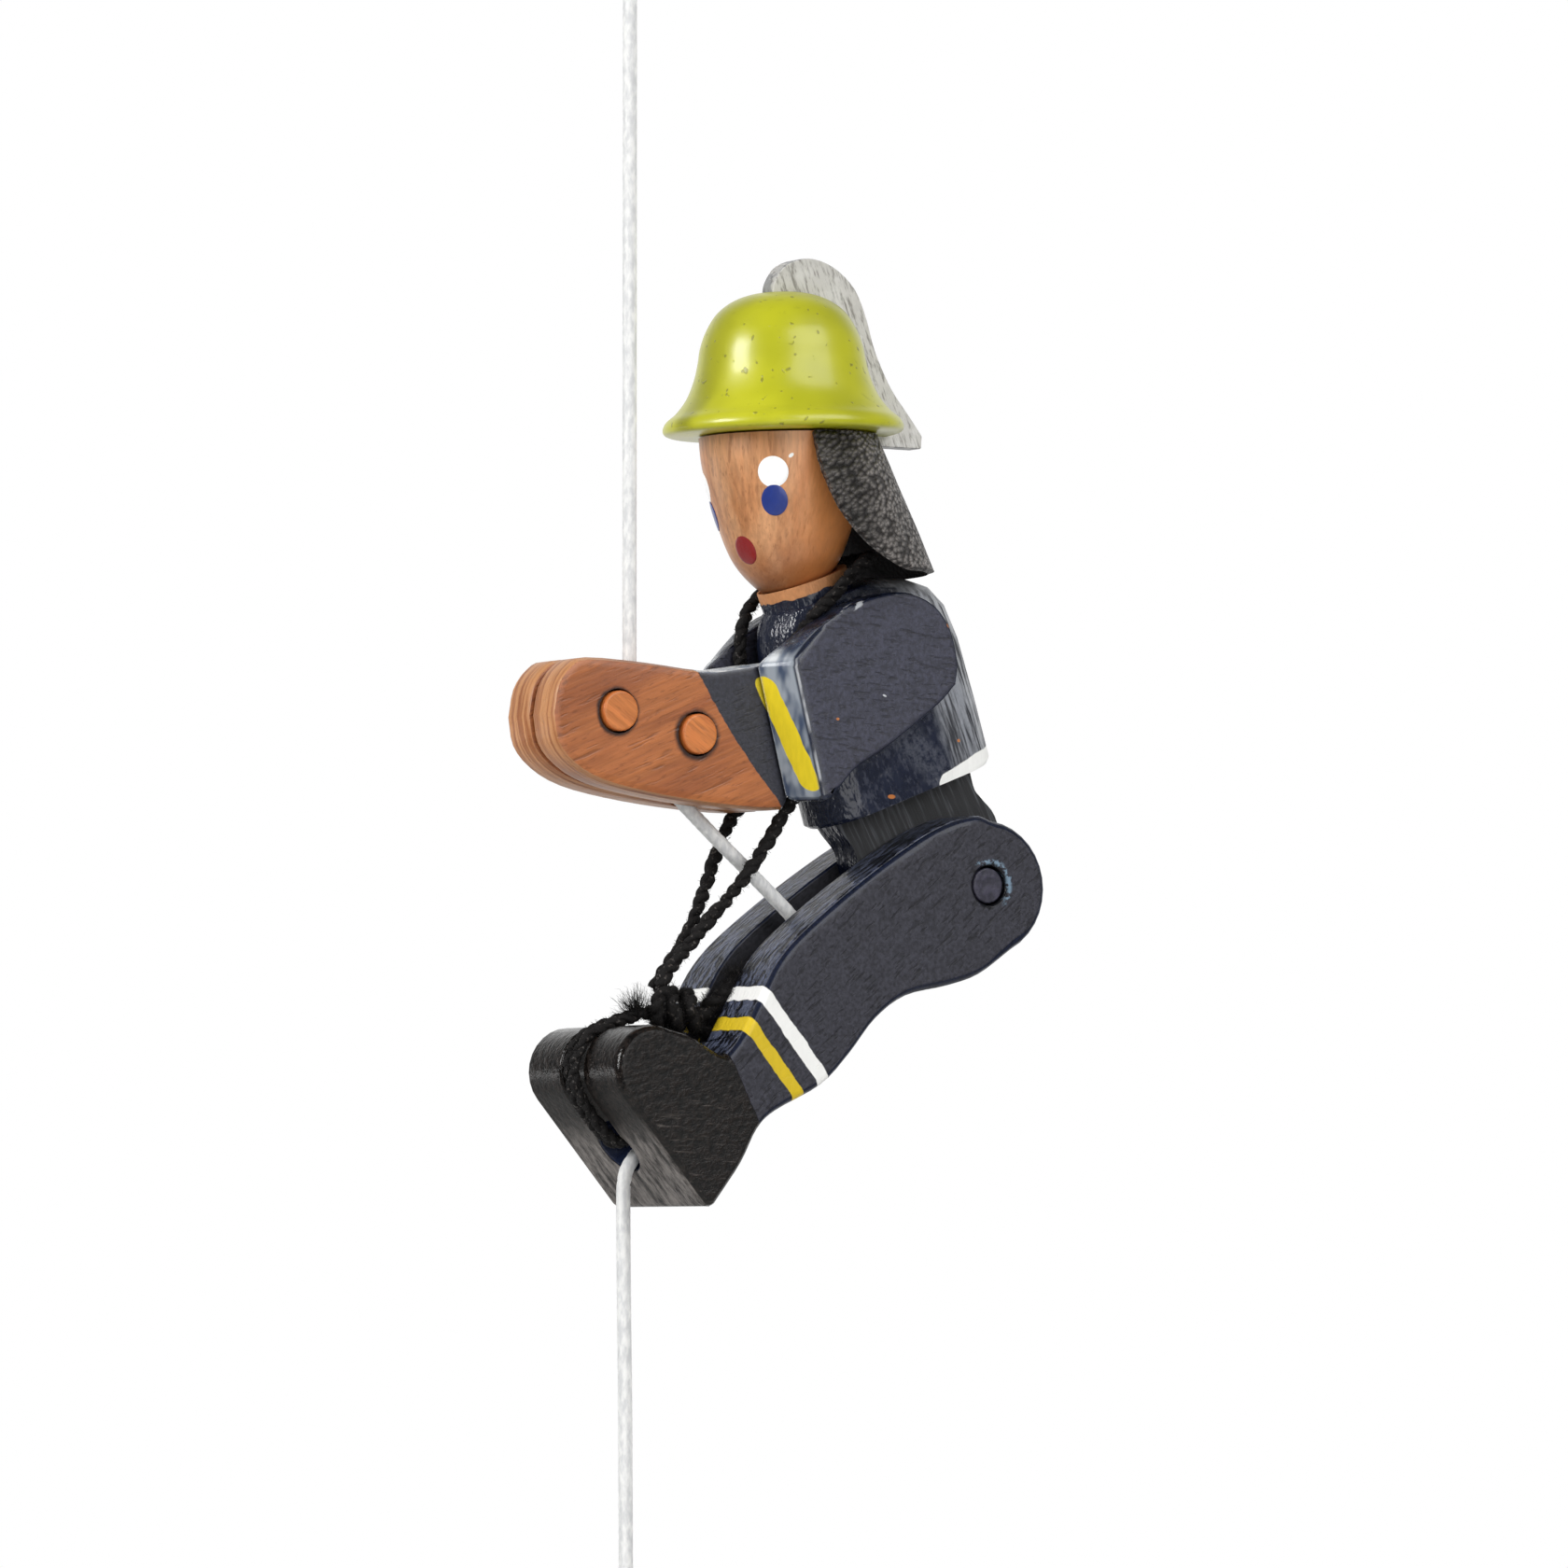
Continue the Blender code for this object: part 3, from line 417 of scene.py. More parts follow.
def make_torso_look():
    look = Look("jacket_paint")
    turn = math.pi / 2 - TORSO_LEAN
    up = look.along(TORSO_UP, HIP)
    back = look.along(TORSO_BACK, HIP)
    flat = look.sideways(0.90, 0.98)
    wobble = look.wobble(0.0018, 0.0006)
    speckle = look.noise(0.0007, detail=3.0, roughness=0.7)
    crinkle = look.noise((0.0013, 0.0010, 0.0022), -TORSO_LEAN, 2.0, 0.6)
    streaks = look.noise((0.0075, 0.0010, 0.0008), turn, 3.0, 0.65)

    colour = look.scaled(NAVY, look.blend(crinkle, 0.6, 1.4) * look.blend(flat, 1.0, 1.05))
    roughness = look.blend(crinkle, 0.16, 0.28)
    height = crinkle * look.blend(flat, 1.8, 1.1)

    # A lighter patchy band on the flat side below the arm: painted light beside the arm's shadow
    under_arm = look.along(Vector((0.60, 0.0, 0.80)), Vector((0.0428, 0.0, -0.1268)))
    brushed = under_arm + wobble * 2.0
    brushed = look.band(brushed, -0.0006, 0.0040, 0.0010) * look.ramp(speckle, 0.34, 0.66) * flat
    colour = look.mix(brushed, colour, "#565963", 0.6)

    dapple = look.patches(0.48, 0.64, (0.0018, 0.0010, 0.0009), turn, 3.0, 0.7)
    colour = look.mix(dapple * flat * 0.45, colour, "#4b4e5a")

    # The back turns a lighter streaky grey: grain through the paint, lightened as a painted sheen
    behind = look.ramp(back + wobble, 0.0022, 0.0046)
    back_grain_and_sheen = look.mix(look.ramp(streaks, 0.38, 0.62), "#24262d", "#83868d")
    # Faces turned to the back get a pale painted rim sheen on the streaks
    rim = look.ramp(look.turned_to(TORSO_BACK), 0.15, 0.75)
    back_grain_and_sheen = look.mix(rim * look.ramp(streaks, 0.40, 0.60) * 0.8, back_grain_and_sheen, "#b0b2b5")
    # Upward faces at the shoulders get a pale painted sheen
    shoulder_sheen = look.ramp(look.turned_to(TORSO_UP), 0.20, 0.60) * look.ramp(back, -0.002, 0.003)
    back_grain_and_sheen = look.mix(shoulder_sheen, back_grain_and_sheen, "#8d8f92", 0.7)
    back_grain_and_sheen = look.shaded(back_grain_and_sheen, speckle, 0.65, 1.35)
    colour = look.mix(look.math("MAXIMUM", behind, shoulder_sheen), colour, back_grain_and_sheen)
    roughness = look.blend(behind, roughness, 0.5)
    height = look.blend(behind, height, streaks * 1.6)

    tongue = look.ramp(up, TONGUE_UP + 0.0002, TONGUE_UP - 0.0002) * flat
    saw = look.noise((0.0100, 0.0012, 0.0006), turn - 0.12, 2.0, 0.7)
    saw_colour = look.mix(look.ramp(saw, 0.48, 0.72), "#16171a", "#484a4f")
    colour = look.mix(tongue, colour, saw_colour)
    height = look.blend(tongue, height, saw)
    roughness = look.blend(tongue, roughness, 0.62)

    tip = look.math("SQRT", look.ramp(back, 0.0000, 0.0014))
    hem_top = HEM_UP + tip * 0.0013 + look.ramp(back, 0.0, 0.009) * 0.0010
    hem = look.ramp(back, 0.0001, 0.0004) * look.ramp(up, HEM_UP - 0.0003, HEM_UP)
    hem = hem * look.ramp(hem_top - (up + wobble * 0.3), -0.0001, 0.0001)
    colour = look.mix(hem, colour, stroke(look, WHITE_PAINT))
    height = look.blend(hem, height, 0.9)
    collar = look.ramp(up + wobble, COLLAR_UP - 0.0001, COLLAR_UP + 0.0001)
    raw = look.shaded(RAW_WOOD, look.noise((0.0024, 0.0006, 0.0006), 0.3), 0.70, 1.15)
    colour = look.mix(collar, colour, raw)
    roughness = look.blend(collar, roughness, 0.6)
    chips = look.spot((0.0388, -0.0067, -0.1317), 0.00036, 2.0)
    chips = chips + look.spot((0.0500, -0.0067, -0.1235), 0.00028)
    colour = look.mix(look.math("MINIMUM", chips, 1.0), colour, WOOD_CHIP)
    return look.finish(colour, roughness, height, 0.00018)


def make_upper_arm_look():
    look = Look("sleeve_paint")
    colour, roughness, height = navy_layers(look, math.radians(4.0), SLATE, ARM_FRONT)
    ahead, aside, above = look.normal
    step = look.ramp(ahead, -0.60, -0.72)
    smear = look.patches(0.36, 0.62, (0.0030, 0.0024, 0.0080), math.radians(14.0))
    # The forward step face takes a pale blue-grey film: a varnish film, lightened as a painted sheen
    film_and_sheen = look.mix(smear, "#3a465c", "#8d949c")
    colour = look.mix(step, colour, film_and_sheen)
    colour = look.mix(arm_stripe(look) * step, colour, stroke(look, YELLOW_PAINT, 0.18))
    # Upward faces at the front end turn pale: painted reflection
    top_reflection = look.ramp(above, 0.30, 0.60) * look.ramp(look.x, 0.0200, 0.0178)
    colour = look.mix(top_reflection * 0.85, colour, look.mix(smear, "#858d99", "#d6d9db"))
    # Pale broken lines along the step's edges: painted highlights
    breaks = look.patches(0.36, 0.52, (0.0024, 0.0016, 0.0060))
    outer_line = look.band(ahead, -0.58, -0.46, 0.05)
    inner_line = look.ramp(ahead, -0.80, -0.90) * look.ramp(abs(aside), 0.34, 0.20)
    highlight_lines = (outer_line + inner_line) * breaks * look.ramp(abs(above), 0.42, 0.30)
    colour = look.mix(highlight_lines, colour, PALE_WEAR_AND_HIGHLIGHT, 0.7)
    slope = math.radians(-28.0)
    worn = look.patches(0.50, 0.58, (0.0020, 0.0008, 0.0008), slope)
    patch = look.spot((0.0290, -0.0120, -0.1054), 0.0011, 2.4, slope) * worn
    chips = look.spot((0.0263, -0.0124, -0.1215), 0.00024, 1.3)
    chips = chips + look.spot((0.0449, -0.0118, -0.1078), 0.00050, 1.6)
    nick = look.spot((0.0340, -0.0124, -0.1180), 0.00018, 2.2, math.radians(20.0))
    colour = look.mix(patch, colour, PALE_WEAR_AND_HIGHLIGHT, 0.8)
    colour = look.mix(chips, colour, WOOD_CHIP)
    colour = look.mix(nick, colour, PALE_WEAR_AND_HIGHLIGHT)
    roughness = look.blend(step, roughness, 0.25)
    return look.finish(colour, roughness, height, 0.00016)


def make_forearm_look():
    look = Look("hand_wood_and_cuff")
    wood, roughness, height = wood_layers(look, math.radians(-22.0), "#ae6839", "#97562f", "#522c18", 0.62)
    rounded = look.sideways(0.96, 0.80)
    layers = look.noise((0.0160, 0.00075, 0.0160), 0.0, 3.0, 0.6)
    layered = look.mix(look.ramp(layers, 0.36, 0.62), "#8f5731", "#c38d5e")
    wood = look.mix(rounded, wood, layered, 0.8)
    # Dark ring round each peg bore, set a little low and forward: painted shadow of the gap round the peg
    for place, width in ((FRONT_PEG, 0.00060), (REAR_PEG, 0.00085)):
        centre = GRIP + Vector(place) + Vector((-0.00010, 0.0, -0.00010))
        along = look.along(Vector((1.0, 0.0, 0.0)), centre)
        above = look.along(Vector((0.0, 0.0, 1.0)), centre)
        reach = look.reach(along, above) + look.wobble(0.0020, 0.0003)
        wood = look.mix(look.ramp(reach, PEG_BORE + width, PEG_BORE), wood, "#2b140a")

    navy, navy_roughness, navy_height = navy_layers(look, math.radians(-20.0), CUFF_SLATE, ARM_FRONT)
    bow = look.math("POWER", abs(look.z + 0.1235), 2.0) * 9.0
    edge = look.along(Vector((0.808, 0.0, 0.589)), Vector((0.0071, 0.0, -0.1158))) - bow
    cuff = look.ramp(edge + look.wobble(0.0014, 0.0003), -0.0003, -0.0001)
    colour = look.mix(cuff, wood, navy)
    colour = look.mix(arm_stripe(look) * cuff, colour, stroke(look, YELLOW_PAINT, 0.18))
    # Rounded edges of the cuff turn pale: a varnish film with a painted sheen
    film_and_sheen = look.patches(0.34, 0.60, (0.0030, 0.0012, 0.0010))
    film_and_sheen = look.mix(film_and_sheen, "#8a93a0", "#dcdfe0")
    colour = look.mix(rounded * cuff * 0.85, colour, film_and_sheen)
    roughness = look.blend(cuff, roughness, look.blend(rounded, navy_roughness, 0.2))
    height = look.blend(cuff, height, navy_height * 0.6)
    return look.finish(colour, roughness, height, 0.00010)


def make_leg_look():
    look = Look("trousers_and_boots", Specular_IOR_Level=0.3)
    turn = math.pi / 2 + LEG_SWING
    colour, roughness, height = navy_layers(look, turn, TROUSER_SLATE, SLATE_FRONT)
    down = look.along(LEG_DOWN, HIP)
    forward = look.along(LEG_FORWARD, HIP)
    aside = abs(look.y)
    wobble = look.wobble(0.0020, 0.0003)
    outside = look.ramp(aside, SLOT_HALF, SLOT_HALF + 0.0003)

    # The slot's walls are near black: painted shade in the slot
    slot = look.ramp(aside, SLOT_HALF + 0.00005, SLOT_HALF - 0.00005)
    colour = look.mix(slot, colour, "#050608")
    roughness = look.blend(slot, roughness, 0.9)

    stripes = down + wobble + forward * 0.02
    white = look.band(stripes, *WHITE_STRIPE, PAINT_SOFT) * outside
    yellow = look.band(stripes, *YELLOW_STRIPE, PAINT_SOFT) * outside
    colour = look.mix(white, colour, stroke(look, WHITE_PAINT, 0.06))
    colour = look.mix(yellow, colour, stroke(look, TROUSER_YELLOW, 0.14))
    striped = white + yellow
    roughness = look.blend(striped, roughness, 0.42)
    height = height * look.blend(striped, 1.0, 0.35) + striped * 0.5

    boot_top = down + forward * 0.25 + wobble
    boot = look.ramp(boot_top, BOOT_DOWN - 0.0001, BOOT_DOWN + 0.0001)
    scratch = look.noise((0.0090, 0.0005, 0.0005), turn + 0.75, 3.0, 0.7)
    grain = look.noise((0.0070, 0.0008, 0.0008), turn + 0.55, 3.0, 0.6)
    marks = look.ramp(scratch, 0.58, 0.72) * look.patches(0.38, 0.60, 0.007)
    dapple = look.noise((0.0012, 0.0009, 0.0009), turn + 0.3, 3.0, 0.7)
    dappled = look.ramp(dapple, 0.35, 0.65)
    boot_shade = look.blend(grain, 0.6, 1.3) * look.blend(dappled, 0.0, 2.1)
    boot_colour = look.scaled(BOOT_BLACK, boot_shade)
    boot_colour = look.mix(marks, boot_colour, BOOT_SCRATCH, 0.8)
    colour = look.mix(boot, colour, boot_colour)
    level = look.sideways(0.80, 0.95)
    # The down-facing sole turns a streaky light grey that fades toward the toe: wear, lightened as a painted
    # sheen
    sole = look.ramp(look.turned_to(LEG_DOWN), 0.80, 0.95)
    sole_sheen_and_wear = look.patches(0.30, 0.72, (0.0036, 0.0010, 0.0010), turn + math.pi / 2, 4.0, 0.75)
    sole_sheen_and_wear = boot * sole * sole_sheen_and_wear * look.ramp(forward, 0.0135, 0.0055)
    colour = look.mix(sole_sheen_and_wear, colour, "#8d8783", 0.85)
    satin = look.blend(dappled, 0.62, 0.36)
    satin = look.blend(sole, look.blend(level, look.blend(grain, 0.10, 0.20), satin), 0.50)
    roughness = look.blend(boot, roughness, satin)
    boot_height = grain * 0.8 + dapple * look.blend(level, 0.4, 1.6)
    height = look.blend(boot, height, boot_height)

    bore_reach = look.reach(forward - SOLE_BORE_FORWARD, look.y)
    bore = look.ramp(bore_reach, SOLE_BORE + 0.00005, SOLE_BORE - 0.00005)
    bore = bore * look.ramp(down, 0.0465, 0.0470)
    colour = look.mix(bore, colour, "#1c2338")

    # Dark ring round the hip pin: painted shadow of the gap round the pin
    ring = look.reach(down, forward) + look.wobble(0.0011, 0.0005)
    colour = look.mix(look.ramp(ring, 0.0033, 0.0030) * outside, colour, "#0b0b12")
    patchy = look.patches(0.50, 0.58, 0.0010, detail=3.0)
    smudge = patchy * look.band(ring, 0.0030, 0.0037, 0.0003)
    smudge = smudge * look.ramp(look.x + look.z, -0.0930, -0.0905) * outside
    colour = look.mix(smudge, colour, "#7f98ad", 0.75)
    blemish = look.spot((0.0326, -0.0120, -0.1579), 0.0007)
    colour = look.mix(blemish, colour, "#17181c", 0.35)
    return look.finish(colour, roughness, height, 0.00014)


def make_pin_look():
    look = Look("pin_end_paint")
    cloud = look.noise(0.0011, detail=3.0)
    colour = look.mix(look.ramp(cloud, 0.35, 0.65), "#23222f", "#3a3848")
    return look.finish(colour, look.blend(cloud, 0.4, 0.6), cloud, 0.00015)


def make_peg_look():
    look = Look("peg_wood")
    colour, roughness, height = wood_layers(look, math.radians(35.0), "#cb7a3e", "#b86832", "#7a4526", 0.4)
    side = look.sideways(0.85, 0.55)
    colour = look.mix(side, colour, "#c4642a", 0.5)
    return look.finish(colour, roughness, height, 0.00008)


def make_head_look():
    look = Look("head_wood", Coat_Weight=0.15, Coat_Roughness=0.25)
    colour, roughness, height = wood_layers(look, math.pi / 2, "#cc966a", "#b57a4d", "#7a4726", 0.6)
    # Faces turned away from the key lamp turn a brighter orange: painted light
    painted_fill_light = look.ramp(look.normal[0], -0.60, 0.10)
    colour = look.mix(painted_fill_light, colour, "#f29a55", 0.85)
    colour = look.shaded(colour, look.noise((0.0008, 0.0008, 0.0070), 0.0, 3.0, 0.65), 0.80, 1.16)
    up = look.along(HEAD_UP, HEAD_FOOT)
    cloud = look.noise(0.006)
    red = look.ramp(up + look.blend(cloud, -0.003, 0.003), 0.0105, 0.0020)
    colour = look.mix(red, colour, "#9a5a30", 0.55)
    # Darker at the foot of the head where it meets the collar: painted shade
    painted_shade_at_neck = look.ramp(up + look.blend(cloud, -0.0015, 0.0015), 0.0035, 0.0005)
    colour = look.mix(painted_shade_at_neck, colour, "#4f3220", 0.45)
    fleck = look.spot((0.0200, -0.0103, -0.0849), 0.00030, 2.2, math.radians(-40.0))
    colour = look.mix(fleck, colour, WHITE_PAINT)
    return look.finish(colour, roughness, height, 0.00006)


def make_helmet_look():
    look = Look("helmet_lacquer", Coat_Weight=0.25, Coat_Roughness=0.16)
    cloud = look.noise(0.012)
    specks = look.patches(0.70, 0.76, 0.0011, detail=1.0)
    scuffs = look.patches(0.64, 0.76, (0.0060, 0.0010, 0.0010), 0.6) * 0.35
    colour = look.mix(look.ramp(cloud, 0.3, 0.7), "#a3a410", "#b7b71b")
    colour = look.mix(specks, colour, "#66631a", 0.60)
    colour = look.mix(scuffs, colour, "#8f8f18")
    height = cloud * 0.5 + specks * 0.25
    return look.finish(colour, look.blend(cloud, 0.28, 0.40), height, 0.00025)


def make_crest_look():
    look = Look("crest_silver")
    grain = look.noise((0.0034, 0.0009, 0.0006), math.radians(70.0), 3.0, 0.7)
    cloud = look.noise(0.0040, detail=3.0)
    rounded = look.sideways(0.90, 0.60)
    colour = look.mix(look.ramp(grain, 0.36, 0.52), "#8b8882", "#c4c2bd")
    colour = look.mix(look.ramp(cloud, 0.50, 0.60) * 0.5, colour, "#d6d5d1")
    colour = look.mix(look.ramp(cloud, 0.42, 0.34) * 0.35, colour, "#b3b1ac")
    colour = look.mix(rounded * look.ramp(cloud, 0.46, 0.54) * 0.6, colour, "#63666d")
    return look.finish(colour, look.blend(grain, 0.50, 0.30), grain, 0.00026)


def make_leather_look():
    look = Look("flap_leather", Specular_IOR_Level=0.4)
    lumps = 1.0 - look.pebbles((0.0011, 0.0008, 0.0007), math.radians(-35.0))
    grain = look.noise(0.0006, detail=3.0, roughness=0.7)
    shade = look.noise(0.0035)
    colour = look.mix(look.ramp(lumps, 0.20, 0.85), "#393533", "#958f8b")
    colour = look.scaled(colour, look.blend(grain, 0.45, 1.55) * look.blend(shade, 0.60, 1.40))
    front = look.ramp(look.x, 0.0325, 0.0265)
    colour = look.shaded(colour, front, 1.05, 0.45)
    # The inner face turns near black: a dark suede side, darkened further as painted shadow
    outward = (look.x - HEAD_FOOT.x) * look.normal[0] + look.y * look.normal[1]
    inside = look.ramp(outward, 0.0, -0.003)
    colour = look.mix(inside, colour, "#141213")
    lumpy = lumps * look.blend(inside, 3.2, 0.4)
    height = lumpy + grain * (1.0 - inside)
    roughness = look.blend(inside, look.blend(lumps, 0.58, 0.36), 0.85)
    return look.finish(colour, roughness, height, 0.00055)


def make_cord_look():
    look = Look("white_braid", Sheen_Weight=0.25)
    yarn = look.noise((0.0007, 0.0007, 0.0018), detail=3.0)
    colour = look.mix(look.ramp(yarn, 0.3, 0.7), "#c6c7c8", "#e4e4e2")
    return look.finish(colour, 0.8, yarn, 0.00005)


def make_elastic_look():
    look = Look("black_elastic_yarn", Specular_IOR_Level=0.25)
    yarn = look.noise(0.0005, detail=3.0)
    glint = look.patches(0.60, 0.70, 0.0006)
    dark = look.shaded("#100e0e", yarn, 0.5, 1.5)
    colour = look.mix(glint, dark, "#5a5450", 0.5)
    return look.finish(colour, look.blend(glint, 0.8, 0.4), yarn, 0.00016)


def make_dot_look(name, code):
    look = Look(name, Coat_Weight=0.4, Coat_Roughness=0.12)
    brush = look.noise((0.0007, 0.0007, 0.0016), 0.3)
    return look.finish(look.shaded(code, brush, 0.85, 1.1), 0.35, brush, 0.00006)


def make_steel_look():
    look = Look("pin_steel", Metallic=1.0)
    brushed = look.noise((0.0003, 0.004, 0.0003))
    return look.finish(look.shaded("#b8b8b4", brushed, 0.8, 1.1), look.blend(brushed, 0.3, 0.5))


# Shapes


def place_in_scene(name, data):
    obj = bpy.data.objects.new(name, data)
    bpy.context.scene.collection.objects.link(obj)
    return obj


def show(name, mesh, material):
    mesh.materials.append(material)
    return place_in_scene(name, mesh)


def stand_for(obj, node):
    """A piece that replaces a node and rides where the node does."""
    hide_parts(node)
    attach(obj, frame["nodes"][node]["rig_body"])


def full_corner(point):
    """A forearm's place with the cuff's lower rear corner filled out to the step behind it."""
    backward = (point.x - GRIP.x - CORNER_BEHIND) / CORNER_LENGTH
    downward = (GRIP.z - point.z - CORNER_BELOW) / CORNER_BELOW
    share = min(1.0, max(0.0, backward)) * min(1.0, max(0.0, downward))
    return point + Vector((CORNER_BACK * share, 0.0, -CORNER_DROP * share))


def dressed(node, material, edge=0.0, shape=None, clamped=True):
    """The node's own surface with its flat faces whole, its edges eased and a finish."""
    source = frame["nodes"][node].data
    mesh = bpy.data.meshes.new(f"{node}_dressed")
    places = [shape(v.co) if shape else v.co for v in source.vertices]
    mesh.from_pydata(places, [], [p.vertices[:] for p in source.polygons])
    bm = bmesh.new()
    bm.from_mesh(mesh)
    bmesh.ops.remove_doubles(bm, verts=bm.verts, dist=1e-6)
    bmesh.ops.dissolve_limit(bm, angle_limit=math.radians(0.6), verts=bm.verts, edges=bm.edges)
    bm.to_mesh(mesh)
    bm.free()
    mesh.shade_smooth()
    mesh.set_sharp_from_angle(angle=SHARP)
    obj = show(f"{node}_dressed", mesh, material)
    if edge:
        bevel = obj.modifiers.new("eased_edges", "BEVEL")
        bevel.width = edge
        bevel.segments = 3
        bevel.limit_method = "ANGLE"
        bevel.angle_limit = SHARP
        bevel.use_clamp_overlap = clamped
    weighted = obj.modifiers.new("flat_faces", "WEIGHTED_NORMAL")
    weighted.keep_sharp = not edge
    weighted.weight = 80
    stand_for(obj, node)


def grid_mesh(name, grids):
    """One mesh of closed tubes; each grid has rings of points along it, and both ends are capped."""
    points = []
    faces = []
    for grid in grids:
        rings, sides = grid.shape[:2]
        first = sum(len(part) for part in points)
        points.append(grid.reshape(-1, 3))
        for ring in range(rings - 1):
            low = first + ring * sides
            for side in range(sides):
                follow = (side + 1) % sides
                faces.append((low + side, low + follow, low + sides + follow, low + sides + side))
        last = first + (rings - 1) * sides
        faces.append(tuple(range(first + sides - 1, first - 1, -1)))
        faces.append(tuple(range(last, last + sides)))
    mesh = bpy.data.meshes.new(name)
    mesh.from_pydata(np.vstack(points).tolist(), [], faces)
    mesh.shade_smooth()
    mesh.set_sharp_from_angle(angle=math.radians(60.0))
    return mesh


def smooth_path(points, spacing):
    """Even points on a smooth curve through the given ones, and their distance along it."""
    given = np.array(points, float)
    padded = np.vstack([2 * given[0] - given[1], given, 2 * given[-1] - given[-2]])
    share = np.linspace(0.0, 1.0, 24, endpoint=False)[:, None]
    runs = []
    for before, start, end, after in zip(padded, padded[1:], padded[2:], padded[3:]):
        bend = 2 * before - 5 * start + 4 * end - after
        twist = 3 * start - before - 3 * end + after
        runs.append(start + 0.5 * ((end - before) * share + bend * share**2 + twist * share**3))
    dense = np.vstack([*runs, given[-1:]])
    distance = np.concatenate([[0.0], np.cumsum(np.linalg.norm(np.diff(dense, axis=0), axis=1))])
    even = np.linspace(0.0, distance[-1], max(3, round(distance[-1] / spacing)) + 1)
    return np.column_stack([np.interp(even, distance, dense[:, axis]) for axis in range(3)]), even


def across(path):
    """Two directions square to a path that turn with it without twist."""
    tangents = np.gradient(path, axis=0)
    tangents /= np.linalg.norm(tangents, axis=1)[:, None]
    side = np.cross(tangents[0], (0.0, 1.0, 0.0))
    if np.linalg.norm(side) < 0.1:
        side = np.cross(tangents[0], (1.0, 0.0, 0.0))
    sides = []
    for tangent in tangents:
        side = side - tangent * side.dot(tangent)
        side = side / np.linalg.norm(side)
        sides.append(side)
    sides = np.array(sides)
    return sides, np.cross(tangents, sides)


def swept(path, radius, sides):
    """Rings round a path; radius is one number, one for each ring, or one for each point."""
    first, second = across(path)
    angle = np.linspace(0.0, 2 * math.pi, sides, endpoint=False)
    rows = len(path) if np.ndim(radius) else 1
    radius = np.broadcast_to(np.asarray(radius, float).reshape(rows, -1), (len(path), sides))
    ring = np.cos(angle)[None, :, None] * first[:, None] + np.sin(angle)[None, :, None] * second[:, None]
    return path[:, None] + radius[:, :, None] * ring


def braid(along, sides):
    """Radius of a round braid: strands of two hands that pass over and under each other."""
    angle = np.linspace(0.0, 1.0, sides, endpoint=False)[None, :]
    run = along[:, None] / CORD_PITCH
    right = CORD_CARRIERS * (angle + run)
    left = CORD_CARRIERS * (angle - run)

    def strand(own, other, hand):
        round_top = 1.0 - 1.6 * (own - np.round(own)) ** 2
        over = hand * np.cos(math.pi * other) * np.where(np.round(own) % 2 == 0, 1.0, -1.0)
        return round_top + 0.45 * over

    weave = np.maximum(strand(right, left, 1.0), strand(left, right, -1.0))
    return CORD_D / 2 * (0.93 + 0.07 * (weave - 0.5))


def cord_grid(points, tuck=None):
    """Braid along a route, with its last part drawn in so that the next piece covers it."""
    path, along = smooth_path(points, CORD_STEP)
    radius = braid(along, CORD_SIDES)
    if tuck:
        drawn_in = np.clip((along - along[-1] + tuck) / (0.4 * tuck), 0.0, 1.0)
        radius = radius * (1.0 - 0.16 * drawn_in)[:, None]
    return swept(path, radius, CORD_SIDES)


def ply_grids(points, chance, diameter=ELASTIC_D, taper=None):
    """Two lumpy strands twisted round a route."""
    path, along = smooth_path(points, ELASTIC_STEP)
    first, second = across(path)
    size = np.ones(len(path)) if taper is None else taper(along / along[-1])
    knots = np.arange(0.0, along[-1] + 0.001, LUMP_STEP)
    grids = []
    for start in (0.0, math.pi):
        lumps = np.interp(along, knots, [chance.uniform(0.74, 1.24) for _ in knots])
        slip = np.interp(along, knots, [chance.uniform(-0.9, 0.9) for _ in knots])
        turn = start + slip + 2 * math.pi * along / ELASTIC_PITCH
        offset = np.cos(turn)[:, None] * first + np.sin(turn)[:, None] * second
        strand = path + offset * (0.18 * diameter * size)[:, None]
        grids.append(swept(strand, 0.30 * diameter * size * lumps, STRAND_SIDES))
    return grids


def fibre_grid(root, heading, length, thickness, chance):
    """One hair: a thin curl that tapers to its tip."""
    curl = Vector((chance.uniform(-1, 1), chance.uniform(-1, 1), chance.uniform(-1, 1)))
    points = []
    for step in range(5):
        share = step / 4
        points.append(root + length * (share * heading + 0.55 * math.sin(2.2 * share) ** 2 * curl))
    path = np.array(points)
    return swept(path, thickness * np.array([1.0, 0.9, 0.75, 0.5, 0.12]), 3)


def fuzz_grids(points, radius, count, reach, chance):
    """Hairs that stand off a yarn along a route."""
    path, _ = smooth_path(points, 0.0004)
    first, second = across(path)
    grids = []
    for _ in range(count):
        place = chance.randrange(len(path))
        angle = chance.uniform(0.0, 2 * math.pi)
        out = Vector(math.cos(angle) * first[place] + math.sin(angle) * second[place])
        root = Vector(path[place]) + radius * 0.92 * out
        stray = Vector((chance.uniform(-1, 1), chance.uniform(-1, 1), chance.uniform(-1, 1)))
        heading = (out + 0.8 * stray).normalized()
        grids.append(fibre_grid(root, heading, chance.uniform(0.3, 1.0) * reach, HAIR, chance))
    return grids


def tuft_grids(root, heading, spread, reach, count, chance):
    """Frayed end of a yarn."""
    grids = []
    for _ in range(count):
        stray = Vector((chance.gauss(0, 1), chance.gauss(0, 1), chance.gauss(0, 1)))
        start = Vector(root) + 0.0006 * stray
        way = (Vector(heading) + spread * stray).normalized()
        grids.append(fibre_grid(start, way, chance.uniform(0.4, 1.0) * reach, TUFT_HAIR, chance))
    return grids


